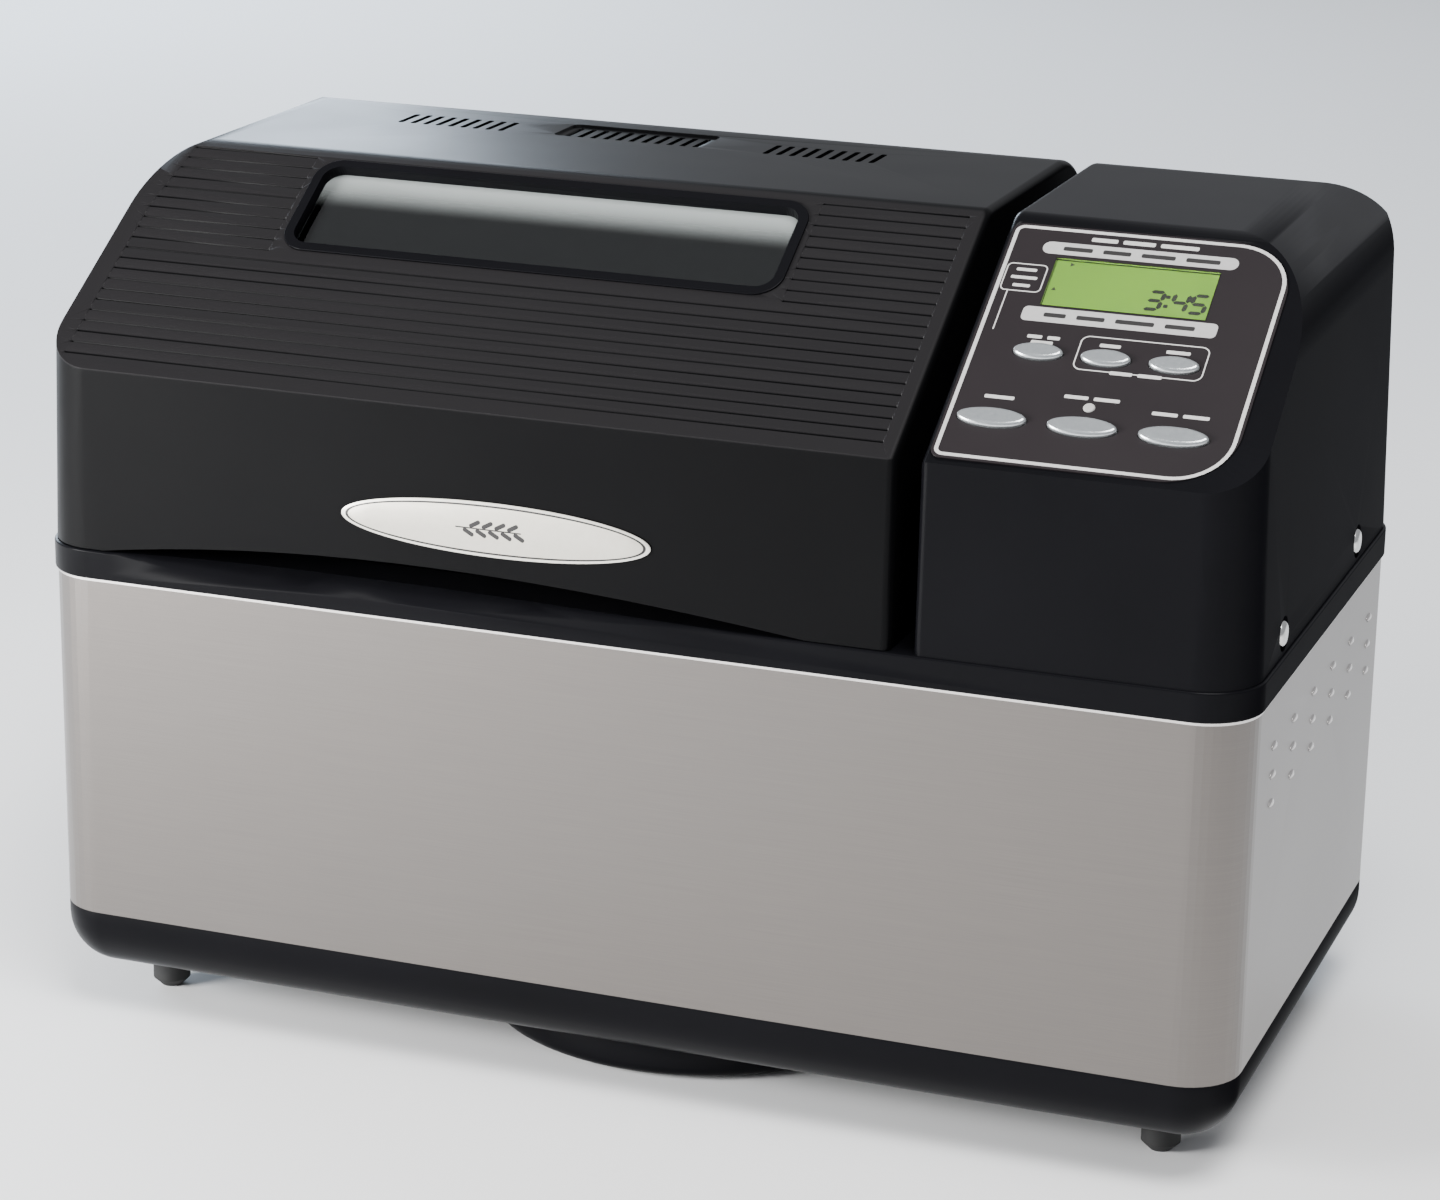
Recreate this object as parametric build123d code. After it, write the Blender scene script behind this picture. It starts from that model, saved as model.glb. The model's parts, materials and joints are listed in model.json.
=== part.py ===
"""Bread machine with a hinged lid, a horizontal pan, two kneading blades and a sloped control panel.

Millimetres. X runs to the right, -Y is the front, +Z is up.
The origin is at the centre of the footprint, on the surface that the machine stands on.
"""
from build123d import *
import os
from math import atan2, cos, hypot, radians, sin, tan

# ---------------------------------------------------------------- overall sizes
RIM_W = 435.0            # machine width, across the rim band
RIM_D = 228.0            # machine depth, across the rim band
TOTAL_H = 302.0          # height of the flat top

# ---------------------------------------------------------------- levels and walls
BASE_BOTTOM = 15.5       # underside of the base tray
STEEL_BOTTOM = 39.0      # lower edge of the steel wrap
RIM_BOTTOM = 164.6       # lower edge of the rim band
RIM_TOP = 175.0          # deck that the lid closes on
WALL = 2.5               # moulded plastic wall
SHEET = 0.8              # steel wrap
LINER = 1.0              # pressed sheet of the chamber and the lid liner
RIM_PROUD = 1.0          # how far the rim band stands out past the walls
CORNER_R = 19.6          # upright corners of the body
BASE_ROUND = 19.0        # rounded lower edge of the base tray
DRAFT = 1.5              # lean of the lid and housing walls, degrees
SLIP = 0.3               # clearance between pieces that lie side by side
RUN = 0.05               # radial clearance of a shaft in its bearing

# ---------------------------------------------------------------- lid and control housing
FRONT_FACE_H = 64.6      # upright part of the front, above the deck
SLOPE_RUN = 98.0         # how far back the sloped face runs
CREASE_R = 12.0          # rounding between the slope and the top
REAR_R = 36.0            # rounding between the top and the back
LID_END_R = 20.0         # rounded end of the lid
HOUSING_END_R = 32.0     # rounded end of the control housing
HOUSING_W = 111.6        # width of the control housing
LID_GAP = 8.0            # gap between the lid and the housing
EDGE_R = 3.0             # rounded edges beside that gap
SEAT_GAP = 0.3           # lid above the deck when it is closed

RIB_COUNT = 21
RIB_FIRST = 6.7          # first groove, up the slope from the crease
RIB_LAST_INSET = 4.4     # last groove, down from the top crease
GROOVE_W = 1.1
GROOVE_DEPTH = 0.9
RIB_END_INSET = 9.0

WINDOW_W = 182.0
WINDOW_H = 42.0
WINDOW_R = 8.0
WINDOW_TOP_INSET = 6.6   # window edge below the top crease
WINDOW_RIGHT_INSET = 63.0
BEZEL_W = 2.0
BEZEL_PROUD = 0.7
GLASS_T = 2.5
GLASS_DEPTH = 3.6

VENT_SLOT_W = 2.2
VENT_SLOT_L = 17.0
VENT_PITCH = 5.0
VENT_RECESS = 1.0

BADGE_L = 112.4
BADGE_H = 18.8
BADGE_T = 0.8
BADGE_Z = 199.8
BADGE_OFFSET = 17.3      # badge centre, right of the lid's middle

GRIP_L = 273.0           # finger recess in the front edge
GRIP_RISE = 8.0
GRIP_DIP = 5.2
GRIP_DEPTH = 9.0

LINER_INSET = 10.0       # lid liner inside the outer surface
LINER_SIDE = 16.0
FLANGE_Z = 184.2         # flange of the lid liner
FLANGE_T = 1.2

HINGE_IN = 7.0           # hinge axis, in from the back wall
HINGE_UP = 15.0          # hinge axis above the deck
HINGE_SPREAD = 190.0
KNUCKLE_R = 4.0
KNUCKLE_W = 16.0
EAR_R = 4.5
EAR_W = 4.0
PIN_R = 1.5
LEDGE_H = 6.3

# ---------------------------------------------------------------- control panel
PANEL_T = 1.2
PANEL_RECESS = 0.9
PANEL_LEFT_INSET = 1.9
PANEL_RIGHT_INSET = 12.0
PANEL_LOW = 2.5
PANEL_HIGH = 4.9
PANEL_R_LEFT = 4.0
PANEL_R_RIGHT = 23.0
BIG_KEY = (23.2, 8.2)
SMALL_KEY = (16.8, 7.2)
BIG_PITCH = 30.0
SMALL_PITCH = 22.7
KEY_RISE = 1.7
KEY_TRAVEL = 0.8
KEY_FROM_LEFT = 46.2     # middle column, in from the panel's left edge
BIG_ROW = 0.175          # places of the rows up the panel
SMALL_ROW = 0.459
LED_ROW = 0.259
LCD_ROW = 0.760
LCD_W = 55.5
LCD_H = 22.0
LED_R = 2.0
BOARD_DEPTH = 14.0
BOARD_T = 1.6
SWITCH_H = 3.6

# ---------------------------------------------------------------- oven, pan and drive
PAN_L = 226.0
PAN_W = 134.0
PAN_H = 118.0
PAN_DRAFT = 2.4
PAN_WALL = 1.2
PAN_R = 18.0
PAN_GAP_X = 22.0
PAN_GAP_Y = 21.0
CHAMBER_FLOOR = 53.0     # upper face of the chamber floor
PAN_BOTTOM = 72.0
FOOT_RING_IN = 13.0      # foot ring inside the edge of the pan's floor
FOOT_RING_T = 2.0
BAIL_R = 2.0
BAIL_REACH = 80.0
SHAFT_R = 4.0
SHAFT_SPREAD = 110.0
BEARING_R = 9.0
BLADE_REACH = 33.0
ELEMENT_R = 3.2
ELEMENT_Z = 64.0
ELEMENT_END = 15.0       # each end of the heater, to the side of the middle
SENSOR_Y = 45.0
SENSOR_Z = 110.0
PLATE_TOP = 42.0
PLATE_T = 2.0
PULLEY_LOW = 20.0
BIG_PULLEY_R = 40.0
SYNC_PULLEY_R = 22.0
MOTOR_PULLEY_R = 9.5
BELT_T = 1.4
BELT_W = 5.6
MOTOR_FROM_RIGHT = 67.5
MOTOR_Y = -20.0
MOTOR_RISE = 18.0        # motor above the chassis plate

# ---------------------------------------------------------------- feet, vents and fasteners
FOOT_R = 6.75
FOOT_CHAMFER = 3.0
FOOT_IN_X = 30.5
FOOT_IN_Y = 36.5
CAP_R = 79.0             # round cap under the base
CAP_BOTTOM = 1.5
CAP_AT = (-2.5, -14.0)
CAP_EDGE_R = 4.0
SIDE_VENT_L = 5.6
SIDE_VENT_W = 1.3
SIDE_VENT_PITCH = 30.0
SIDE_VENT_ROW = 10.0
SIDE_SCREW_Z = 182.5
SIDE_SCREW_HEAD_R = 4.5
SIDE_SCREW_HEAD_H = 2.1
SPOT_FACE = 1.2          # depth of the seat round each side screw
SIDE_SCREW_Y = (-66.0, 49.0)
BASE_POSTS = [(x, y) for x in (-160.0, 160.0) for y in (-88.0, 88.0)]
BASE_POSTS += [(-95.0, -92.0), (95.0, -92.0), (0.0, 92.0)]
POST_R = 5.0
SCREW_R = 1.6

# ---------------------------------------------------------------- worked out from the above
BODY_W = RIM_W - 2 * RIM_PROUD
BODY_D = RIM_D - 2 * RIM_PROUD
LEFT = -BODY_W / 2
RIGHT = BODY_W / 2
FRONT = -BODY_D / 2
BACK = BODY_D / 2
HOUSING_X0 = RIGHT - HOUSING_W
LID_X1 = HOUSING_X0 - LID_GAP
LID_MID = (LEFT + LID_X1) / 2
LEAN = tan(radians(DRAFT))
CREASE_Z = RIM_TOP + FRONT_FACE_H
CREASE_Y = FRONT + FRONT_FACE_H * LEAN
TOP_CREASE_Y = CREASE_Y + SLOPE_RUN
SLOPE = atan2(TOTAL_H - CREASE_Z, SLOPE_RUN)
SLOPE_L = hypot(TOTAL_H - CREASE_Z, SLOPE_RUN)
SLOPE_PLANE = Plane(
    origin=(0, CREASE_Y, CREASE_Z), x_dir=(1, 0, 0), z_dir=(0, -sin(SLOPE), cos(SLOPE))
)
HINGE_Y = BACK - HINGE_IN
HINGE_Z = RIM_TOP + HINGE_UP
HINGE_X = (LID_MID - HINGE_SPREAD / 2, LID_MID + HINGE_SPREAD / 2)
LID_BACK_EDGE = HINGE_Z - KNUCKLE_R
WINDOW_X1 = LID_X1 - WINDOW_RIGHT_INSET
WINDOW_MID = (WINDOW_X1 - WINDOW_W / 2, SLOPE_L - WINDOW_TOP_INSET - WINDOW_H / 2)
PANEL_X0 = HOUSING_X0 + PANEL_LEFT_INSET
PANEL_X1 = RIGHT - PANEL_RIGHT_INSET
PANEL_W = PANEL_X1 - PANEL_X0
PANEL_L = SLOPE_L - PANEL_LOW - PANEL_HIGH
KEY_X = PANEL_X0 + KEY_FROM_LEFT
LCD_V = PANEL_LOW + LCD_ROW * PANEL_L
LED_V = PANEL_LOW + LED_ROW * PANEL_L
PANEL_AT = ((PANEL_X0 + PANEL_X1) / 2, PANEL_LOW + PANEL_L / 2)
POST_ROWS = (PANEL_LOW + 7.5, PANEL_LOW + PANEL_L - 12)
BOARD_POSTS = [(x, v) for x in (PANEL_X0 + 8, PANEL_X1 - 5) for v in POST_ROWS]
CHAMBER_L = PAN_L + 2 * PAN_GAP_X
CHAMBER_W = PAN_W + 2 * PAN_GAP_Y
CHAMBER_R = PAN_R + 6.0
CHAMBER_TOP = RIM_TOP - WALL
CHAMBER_X1 = LID_MID + CHAMBER_L / 2
PAN_TOP = PAN_BOTTOM + PAN_H
PIVOT_Z = PAN_TOP - 9.0
SHAFT_X = (LID_MID - SHAFT_SPREAD / 2, LID_MID + SHAFT_SPREAD / 2)
MOTOR_X = RIGHT - MOTOR_FROM_RIGHT
MOTOR_LOW = PLATE_TOP + MOTOR_RISE
PAN_FLOOR_L = PAN_L - 2 * PAN_H * tan(radians(PAN_DRAFT))
PAN_FLOOR_W = PAN_W - 2 * PAN_H * tan(radians(PAN_DRAFT))
FOOT_RING_L = PAN_FLOOR_L - 2 * FOOT_RING_IN
FOOT_RING_W = PAN_FLOOR_W - 2 * FOOT_RING_IN
FEET_AT = [(sx * (RIM_W / 2 - FOOT_IN_X), sy * (RIM_D / 2 - FOOT_IN_Y)) for sx in (-1, 1) for sy in (-1, 1)]


# ---------------------------------------------------------------- small helpers
def block(x0, x1, y0, y1, z0, z1):
    """Box between three pairs of limits."""
    middle = Pos((x0 + x1) / 2, (y0 + y1) / 2, (z0 + z1) / 2)
    return middle * Box(x1 - x0, y1 - y0, z1 - z0)


def disc(x, y, radius, z0, z1):
    """Upright cylinder between two levels."""
    return Pos(x, y, z0) * extrude(Circle(radius), z1 - z0)


def rod_x(x0, x1, y, z, radius):
    """Cylinder along X."""
    return Pos(x0, y, z) * Rot(0, 90, 0) * extrude(Circle(radius), x1 - x0)


def rounded(width, depth, radius, z0, z1, x=0.0, y=0.0):
    """Upright block with round corners."""
    return Pos(x, y, z0) * extrude(RectangleRounded(width, depth, radius), z1 - z0)


def on_slope(sketch, x, v, depth0, depth1):
    """Extrude a sketch square to the slope, between two heights above it (negative is inside)."""
    start = SLOPE_PLANE * Pos(x, v, depth0)
    return start * extrude(sketch, depth1 - depth0)


def highest_face(solid):
    """The face that lies furthest out, square to the slope."""
    return solid.faces().sort_by(lambda f: f.center().dot(SLOPE_PLANE.z_dir))[-1]


# ---------------------------------------------------------------- upper shell, shared by lid and housing
def side_profile(inset, low):
    """Upright front, slope, flat top and round back, as a face in the YZ plane."""
    top = TOTAL_H - inset
    slope_z = CREASE_Z - inset / cos(SLOPE)
    start_y = FRONT - 10.0
    start_z = slope_z + (start_y - CREASE_Y) * tan(SLOPE)
    crease_y = CREASE_Y + (top - slope_z) / tan(SLOPE)
    rear_y = BACK - inset
    points = [(start_y, low), (start_y, start_z), (crease_y, top), (rear_y, top), (rear_y, low)]
    face = make_face(Polyline(*points, close=True))
    crease = face.vertices().sort_by_distance((crease_y, top, 0))[0]
    face = fillet(crease, CREASE_R)
    rear = face.vertices().sort_by_distance((rear_y, top, 0))[0]
    return fillet(rear, REAR_R - inset)


def end_cutter(side, radius, inset, low_y, high_y):
    """What a round end takes off between the top and a leaning side wall; side is -1 or 1."""
    top = TOTAL_H - inset
    lean = radians(DRAFT)
    reach = (RIGHT * cos(lean) + RIM_TOP * sin(lean)) - inset
    mid_z = top - radius
    mid_x = (reach - radius - mid_z * sin(lean)) / cos(lean)
    half = (lean + radians(90)) / 2
    low = (mid_x + radius * cos(lean), mid_z + radius * sin(lean))
    middle = (mid_x + radius * cos(half), mid_z + radius * sin(half))
    high = (mid_x, top)
    out_x = RIGHT + 10.0
    out_z = top + 10.0
    arc = ThreePointArc(low, middle, high)
    rest = Polyline(high, (mid_x, out_z), (out_x, out_z), (out_x, low[1]), low)
    face = make_face([arc, rest])
    solid = Pos(0, high_y, 0) * Rot(90, 0, 0) * extrude(face, high_y - low_y)
    return solid if side > 0 else mirror(solid, about=Plane.YZ)


def dome(inset=0.0, low=RIM_TOP):
    """The whole upper shape as one solid, set in by a wall thickness."""
    width = BODY_W - 2 * inset
    depth = BODY_D - 2 * inset
    radius = max(CORNER_R - inset, 3.0)
    rise = TOTAL_H + 5.0 - RIM_TOP
    walls = Pos(0, 0, RIM_TOP) * extrude(RectangleRounded(width, depth, radius), rise, taper=DRAFT)
    if low < RIM_TOP:
        walls += rounded(width, depth, radius, low, RIM_TOP)
    prism = Plane.YZ * side_profile(inset, low - 1.0)
    body = walls & (Pos(-RIM_W, 0, 0) * extrude(prism, 2 * RIM_W))
    ends = ((-1, LID_END_R), (1, HOUSING_END_R))
    for side, radius in ends:
        body -= end_cutter(side, radius - inset, inset, FRONT - 20, BACK + 20)
    return body


def soften_cut(body, x):
    """Round the edges of the flat end face at x, all but its lower edge."""
    face = body.faces().filter_by(Axis.X).sort_by(lambda f: abs(f.center().X - x))[0]
    low = face.bounding_box().min.Z
    edges = face.edges().filter_by(lambda e: e.bounding_box().max.Z > low + 0.5)
    return fillet(edges, EDGE_R)


# ---------------------------------------------------------------- lower body
def base_tray():
    outer = rounded(BODY_W, BODY_D, CORNER_R, BASE_BOTTOM, STEEL_BOTTOM)
    outer = fillet(outer.edges().group_by(Axis.Z)[0], BASE_ROUND)
    lip_in = SHEET + SLIP
    lip_w = BODY_W - 2 * lip_in
    lip_d = BODY_D - 2 * lip_in
    lip = rounded(lip_w, lip_d, CORNER_R - lip_in, STEEL_BOTTOM - 5, STEEL_BOTTOM + 7)
    inner = rounded(
        lip_w - 2 * WALL,
        lip_d - 2 * WALL,
        CORNER_R - lip_in - WALL,
        BASE_BOTTOM + WALL,
        STEEL_BOTTOM + 8,
    )
    inner = fillet(inner.edges().group_by(Axis.Z)[0], BASE_ROUND - lip_in - WALL - 0.5)
    tray = outer + lip - inner - disc(*CAP_AT, CAP_R - WALL, BASE_BOTTOM - 1, BASE_BOTTOM + WALL + 1)
    for x, y in BASE_POSTS:
        tray += disc(x, y, POST_R, BASE_BOTTOM + 1, PLATE_TOP - PLATE_T)
        tray -= disc(x, y, SCREW_R + 0.1, BASE_BOTTOM - 1, PLATE_TOP)
        tray -= disc(x, y, 3.3, BASE_BOTTOM - 1, BASE_BOTTOM + 2.2)
    for x, y in FEET_AT:
        tray -= disc(x, y, 3.1, BASE_BOTTOM - 1, BASE_BOTTOM + 5)
    tray -= Pos(MOTOR_X + 10, BACK - 20, STEEL_BOTTOM - 10) * Rot(-90, 0, 0) * extrude(Circle(6.1), 30)
    return tray


def base_cap():
    """Round cover that closes the hole under the drive, with a spigot up into the tray."""
    cap = disc(*CAP_AT, CAP_R, CAP_BOTTOM, BASE_BOTTOM)
    cap = fillet(cap.edges().group_by(Axis.Z)[0], CAP_EDGE_R)
    spigot_r = CAP_R - WALL - SLIP
    cap += disc(*CAP_AT, spigot_r, BASE_BOTTOM - 1, BASE_BOTTOM + WALL)
    return cap - disc(*CAP_AT, spigot_r - WALL, CAP_BOTTOM + WALL, BASE_BOTTOM + WALL + 1)


def feet():
    solids = []
    for x, y in FEET_AT:
        pad = chamfer(disc(x, y, FOOT_R, 0, BASE_BOTTOM).edges().group_by(Axis.Z)[0], FOOT_CHAMFER)
        solids.append(pad + disc(x, y, 3.0, BASE_BOTTOM - 1, BASE_BOTTOM + 4.5))
    return Compound(children=solids)


def steel_wrap():
    wrap = rounded(BODY_W, BODY_D, CORNER_R, STEEL_BOTTOM, RIM_BOTTOM)
    inside = (BODY_W - 2 * SHEET, BODY_D - 2 * SHEET, CORNER_R - SHEET)
    wrap -= rounded(*inside, STEEL_BOTTOM - 1, RIM_BOTTOM + 1)
    slot = SlotOverall(SIDE_VENT_L, SIDE_VENT_W)
    for row in range(3):
        for column in range(6):
            y = FRONT + 41.0 + column * SIDE_VENT_PITCH
            z = RIM_BOTTOM - 19.0 - row * SIDE_VENT_ROW
            wrap -= Pos(RIGHT - 5, y, z) * Rot(0, 90, 0) * Rot(0, 0, 90) * extrude(slot, 10)
    return wrap


def grip_curve(z_end, z_mid_left, z_mid_right):
    """Long shallow curve between the tips of the finger recess, in the XZ plane."""
    x0 = LID_MID - GRIP_L / 2
    x1 = LID_MID + GRIP_L / 2
    left = (x0 + 0.3 * GRIP_L, z_mid_left)
    right = (x0 + 0.62 * GRIP_L, z_mid_right)
    return Spline((x0, z_end), left, right, (x1, z_end))


def rim_frame():
    corner = CORNER_R + RIM_PROUD
    band = rounded(RIM_W, RIM_D, corner, RIM_BOTTOM, RIM_TOP)
    band = fillet(band.edges().group_by(Axis.Z)[-1] + band.edges().group_by(Axis.Z)[0], 0.8)
    wall = RIM_PROUD + WALL
    band -= rounded(RIM_W - 2 * wall, RIM_D - 2 * wall, corner - wall, RIM_BOTTOM - 1, CHAMBER_TOP)
    lip_in = SHEET + SLIP
    lip = rounded(BODY_W - 2 * lip_in, BODY_D - 2 * lip_in, CORNER_R - lip_in, RIM_BOTTOM - 6, RIM_BOTTOM + 3)
    lip_wall = lip_in + WALL
    lip -= rounded(
        BODY_W - 2 * lip_wall, BODY_D - 2 * lip_wall, CORNER_R - lip_wall, RIM_BOTTOM - 7, RIM_BOTTOM + 4
    )
    beam_half = GRIP_L / 2 + 8
    beam = block(LID_MID - beam_half, LID_MID + beam_half, FRONT + 1, FRONT + 15, RIM_BOTTOM, RIM_TOP - 1)
    frame = band + lip + beam
    frame -= rounded(CHAMBER_L, CHAMBER_W, CHAMBER_R, RIM_BOTTOM, RIM_TOP + 1, LID_MID)
    frame -= block(HOUSING_X0 + 8, RIGHT - 12, FRONT + 20, BACK - 20, RIM_BOTTOM, RIM_TOP + 1)
    ledge = dome() & block(LEFT - 1, LID_X1, HINGE_Y + 1, BACK + 1, RIM_TOP - 1, RIM_TOP + LEDGE_H)
    frame += ledge
    frame += block(LEFT + CORNER_R - 6, LID_X1 - 6, HINGE_Y - 8, HINGE_Y + 2, RIM_TOP - 1, RIM_TOP + LEDGE_H)
    for x in HINGE_X:
        half = KNUCKLE_W / 2
        knuckle = rod_x(x - half, x + half, HINGE_Y, HINGE_Z, KNUCKLE_R)
        knuckle += block(x - half, x + half, HINGE_Y - 3.5, HINGE_Y + 3, RIM_TOP + LEDGE_H - 1, HINGE_Z)
        frame += knuckle - rod_x(x - half - 1, x + half + 1, HINGE_Y, HINGE_Z, PIN_R + 0.02)
    for y in SIDE_SCREW_Y:
        inner = RIGHT - (SIDE_SCREW_Z - RIM_TOP) * LEAN - WALL - SLIP
        frame += block(inner - 8, inner, y - 6, y + 6, RIM_TOP - WALL, SIDE_SCREW_Z + 6)
        frame -= rod_x(inner - 9, inner + 1, y, SIDE_SCREW_Z, SCREW_R + 0.1)
    low = grip_curve(RIM_TOP, RIM_TOP - GRIP_DIP, RIM_TOP - GRIP_DIP * 0.7)
    tips = Polyline(low @ 1, (low @ 1) + (0, 3), (low @ 0) + (0, 3), low @ 0)
    scoop = Pos(0, -RIM_D / 2 - 0.5, 0) * Rot(90, 0, 0) * make_face([low, tips])
    frame -= extrude(scoop, GRIP_DEPTH + 1, dir=(0, 1, GRIP_DIP / GRIP_DEPTH))
    return frame


# ---------------------------------------------------------------- control housing and panel
def key_places():
    """Name, place on the panel and size of each button."""
    big_v = PANEL_LOW + BIG_ROW * PANEL_L
    small_v = PANEL_LOW + SMALL_ROW * PANEL_L
    return {
        "crust_button": (KEY_X - SMALL_PITCH, small_v, SMALL_KEY),
        "time_button": (KEY_X, small_v, SMALL_KEY),
        "cycle_button": (KEY_X + SMALL_PITCH, small_v, SMALL_KEY),
        "timer_button": (KEY_X - BIG_PITCH, big_v, BIG_KEY),
        "start_button": (KEY_X, big_v, BIG_KEY),
        "select_button": (KEY_X + BIG_PITCH, big_v, BIG_KEY),
    }


def oval(size, grow=0.0):
    return Ellipse(size[0] / 2 + grow, size[1] / 2 + grow)


def panel_outline(shrink):
    """Panel shape: small corners beside the lid, large ones at the outer end."""
    width = PANEL_W - 2 * shrink
    height = PANEL_L - 2 * shrink
    sheet = Rectangle(width, height)
    left = sheet.vertices().group_by(Axis.X)[0]
    sheet = fillet(left, PANEL_R_LEFT - shrink)
    right = sheet.vertices().filter_by(lambda v: v.X > width / 2 - 0.01)
    return fillet(right, PANEL_R_RIGHT - shrink)


def panel_holes(grow):
    """Everything that passes through the panel, as cutters square to the slope."""
    cuts = [on_slope(oval(size, grow), x, v, -WALL - 4, 4) for x, v, size in key_places().values()]
    cuts.append(on_slope(Rectangle(LCD_W + 0.4, LCD_H + 0.4), KEY_X, LCD_V, -WALL - 4, 4))
    cuts.append(on_slope(Circle(LED_R + 0.15), KEY_X, LED_V, -WALL - 4, 4))
    return cuts


def control_housing():
    outer = dome() & block(HOUSING_X0, RIGHT + 5, FRONT - 5, BACK + 5, RIM_TOP, TOTAL_H + 5)
    outer = soften_cut(outer, HOUSING_X0)
    inner = dome(WALL, RIM_TOP - 1) & block(
        HOUSING_X0 + WALL, RIGHT + 5, FRONT - 5, BACK + 5, RIM_TOP - 1, TOTAL_H + 5
    )
    shell = outer - inner
    shell -= on_slope(panel_outline(0.0), *PANEL_AT, -PANEL_RECESS, 5)
    for cut in panel_holes(SLIP):
        shell -= cut
    for x, v in BOARD_POSTS:
        shell += on_slope(Circle(3.0), x, v, -BOARD_DEPTH, -WALL + 0.5)
    for y in SIDE_SCREW_Y:
        face_x = RIGHT - (SIDE_SCREW_Z - RIM_TOP) * LEAN
        shell -= rod_x(face_x - SPOT_FACE, face_x + 3, y, SIDE_SCREW_Z, SIDE_SCREW_HEAD_R + 1.5)
        shell -= rod_x(face_x - 5, face_x + 3, y, SIDE_SCREW_Z, SCREW_R + 0.3)
    return shell


def panel_overlay():
    sheet = on_slope(panel_outline(0.15), *PANEL_AT, -PANEL_RECESS, PANEL_T - PANEL_RECESS)
    for cut in panel_holes(SLIP):
        sheet -= cut
    return sheet


def lcd_lens():
    return on_slope(Rectangle(LCD_W, LCD_H), KEY_X, LCD_V, -0.8, PANEL_T - PANEL_RECESS)


def lcd_module():
    case = on_slope(Rectangle(LCD_W + 7, LCD_H + 8), KEY_X, LCD_V, -BOARD_DEPTH + 0.1, -WALL - 0.4)
    return case + on_slope(Rectangle(LCD_W - 0.4, LCD_H - 0.4), KEY_X, LCD_V, -WALL - 1, -1.1)


def status_led():
    stem = on_slope(Circle(LED_R), KEY_X, LED_V, -BOARD_DEPTH + 0.1, PANEL_T - PANEL_RECESS + 0.3)
    return fillet(stem.edges().sort_by(Axis.Z)[-1], 0.6)


def button(x, v, size):
    """Oval push button with a flange under the panel wall and a stem down to its switch."""
    top = PANEL_T - PANEL_RECESS + KEY_RISE
    cap = on_slope(oval(size), x, v, -WALL - SLIP - 1.2, top)
    cap = fillet(highest_face(cap).edges(), 1.4)
    cap += on_slope(oval(size, 1.2), x, v, -WALL - SLIP - 1.2, -WALL - SLIP)
    stem_end = -BOARD_DEPTH + SWITCH_H + KEY_TRAVEL + SLIP
    return cap + on_slope(Circle(1.8), x, v, stem_end, -WALL - 1)


def tact_switches():
    body = Rectangle(6, 6)
    top = -BOARD_DEPTH + SWITCH_H
    return Compound(children=[on_slope(body, x, v, -BOARD_DEPTH, top) for x, v, _ in key_places().values()])


def control_board():
    return on_slope(Rectangle(PANEL_W - 6, PANEL_L - 12), *PANEL_AT, -BOARD_DEPTH - BOARD_T, -BOARD_DEPTH)


# ---------------------------------------------------------------- lid
def window_shape(grow):
    return RectangleRounded(WINDOW_W + 2 * grow, WINDOW_H + 2 * grow, WINDOW_R + grow)


def rib_grooves():
    """Grooves across the slope, broken by the window."""
    last = SLOPE_L - RIB_LAST_INSET
    pitch = (last - RIB_FIRST) / (RIB_COUNT - 1)
    left = LEFT + RIB_END_INSET
    right = LID_X1 - RIB_END_INSET + 3
    clear = BEZEL_W + 2.0
    hole = (WINDOW_MID[0] - WINDOW_W / 2 - clear, WINDOW_MID[0] + WINDOW_W / 2 + clear)
    band = (WINDOW_MID[1] - WINDOW_H / 2 - clear, WINDOW_MID[1] + WINDOW_H / 2 + clear)
    cuts = []
    for index in range(RIB_COUNT):
        v = RIB_FIRST + index * pitch
        start = left + v * sin(SLOPE) * LEAN + max(0.0, v - SLOPE_L * 0.7) * 0.16
        spans = [(start, right)]
        if band[0] < v < band[1]:
            spans = [(start, hole[0]), (hole[1], right)]
        for x0, x1 in spans:
            slot = SlotOverall(x1 - x0, GROOVE_W)
            cuts.append(on_slope(slot, (x0 + x1) / 2, v, -GROOVE_DEPTH, 2))
    return cuts


def vent_slots():
    """Three groups of slots in the top, the middle one longer and in a shallow recess."""
    cuts = []
    middle_y = TOP_CREASE_Y + 68.0
    groups = ((LID_MID - 69.5, 9, 0.0), (LID_MID, 11, 4.0), (LID_MID + 74.0, 9, 0.0))
    for x, count, shift in groups:
        for index in range(count):
            at = x + (index - (count - 1) / 2) * VENT_PITCH
            slot = Rot(0, 0, 90) * SlotOverall(VENT_SLOT_L, VENT_SLOT_W)
            cuts.append(Pos(at, middle_y + shift, TOTAL_H - WALL - 1) * extrude(slot, WALL + 3))
    recess = RectangleRounded(58.0, VENT_SLOT_L + 6.0, 3.0)
    cuts.append(Pos(LID_MID, middle_y + 4.0, TOTAL_H - VENT_RECESS) * extrude(recess, 5))
    return cuts


def lid_bosses():
    """Blocks on the end walls that take the liner's screws."""
    top = FLANGE_Z + 12.0
    return [block(x0, x1, y - 4, y + 4, FLANGE_Z + FLANGE_T, top) for x0, x1, y, _ in lid_screw_places()]


def lid_screw_places():
    """Limits of each boss in X, its Y and the screw's X."""
    places = []
    for y in (FRONT + 28.0, BACK - 33.0):
        places.append((LEFT + 1.0, LEFT + 13.0, y, LEFT + 9.0))
        places.append((LID_X1 - 13.0, LID_X1 - 1.0, y, LID_X1 - 9.0))
    return places


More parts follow.
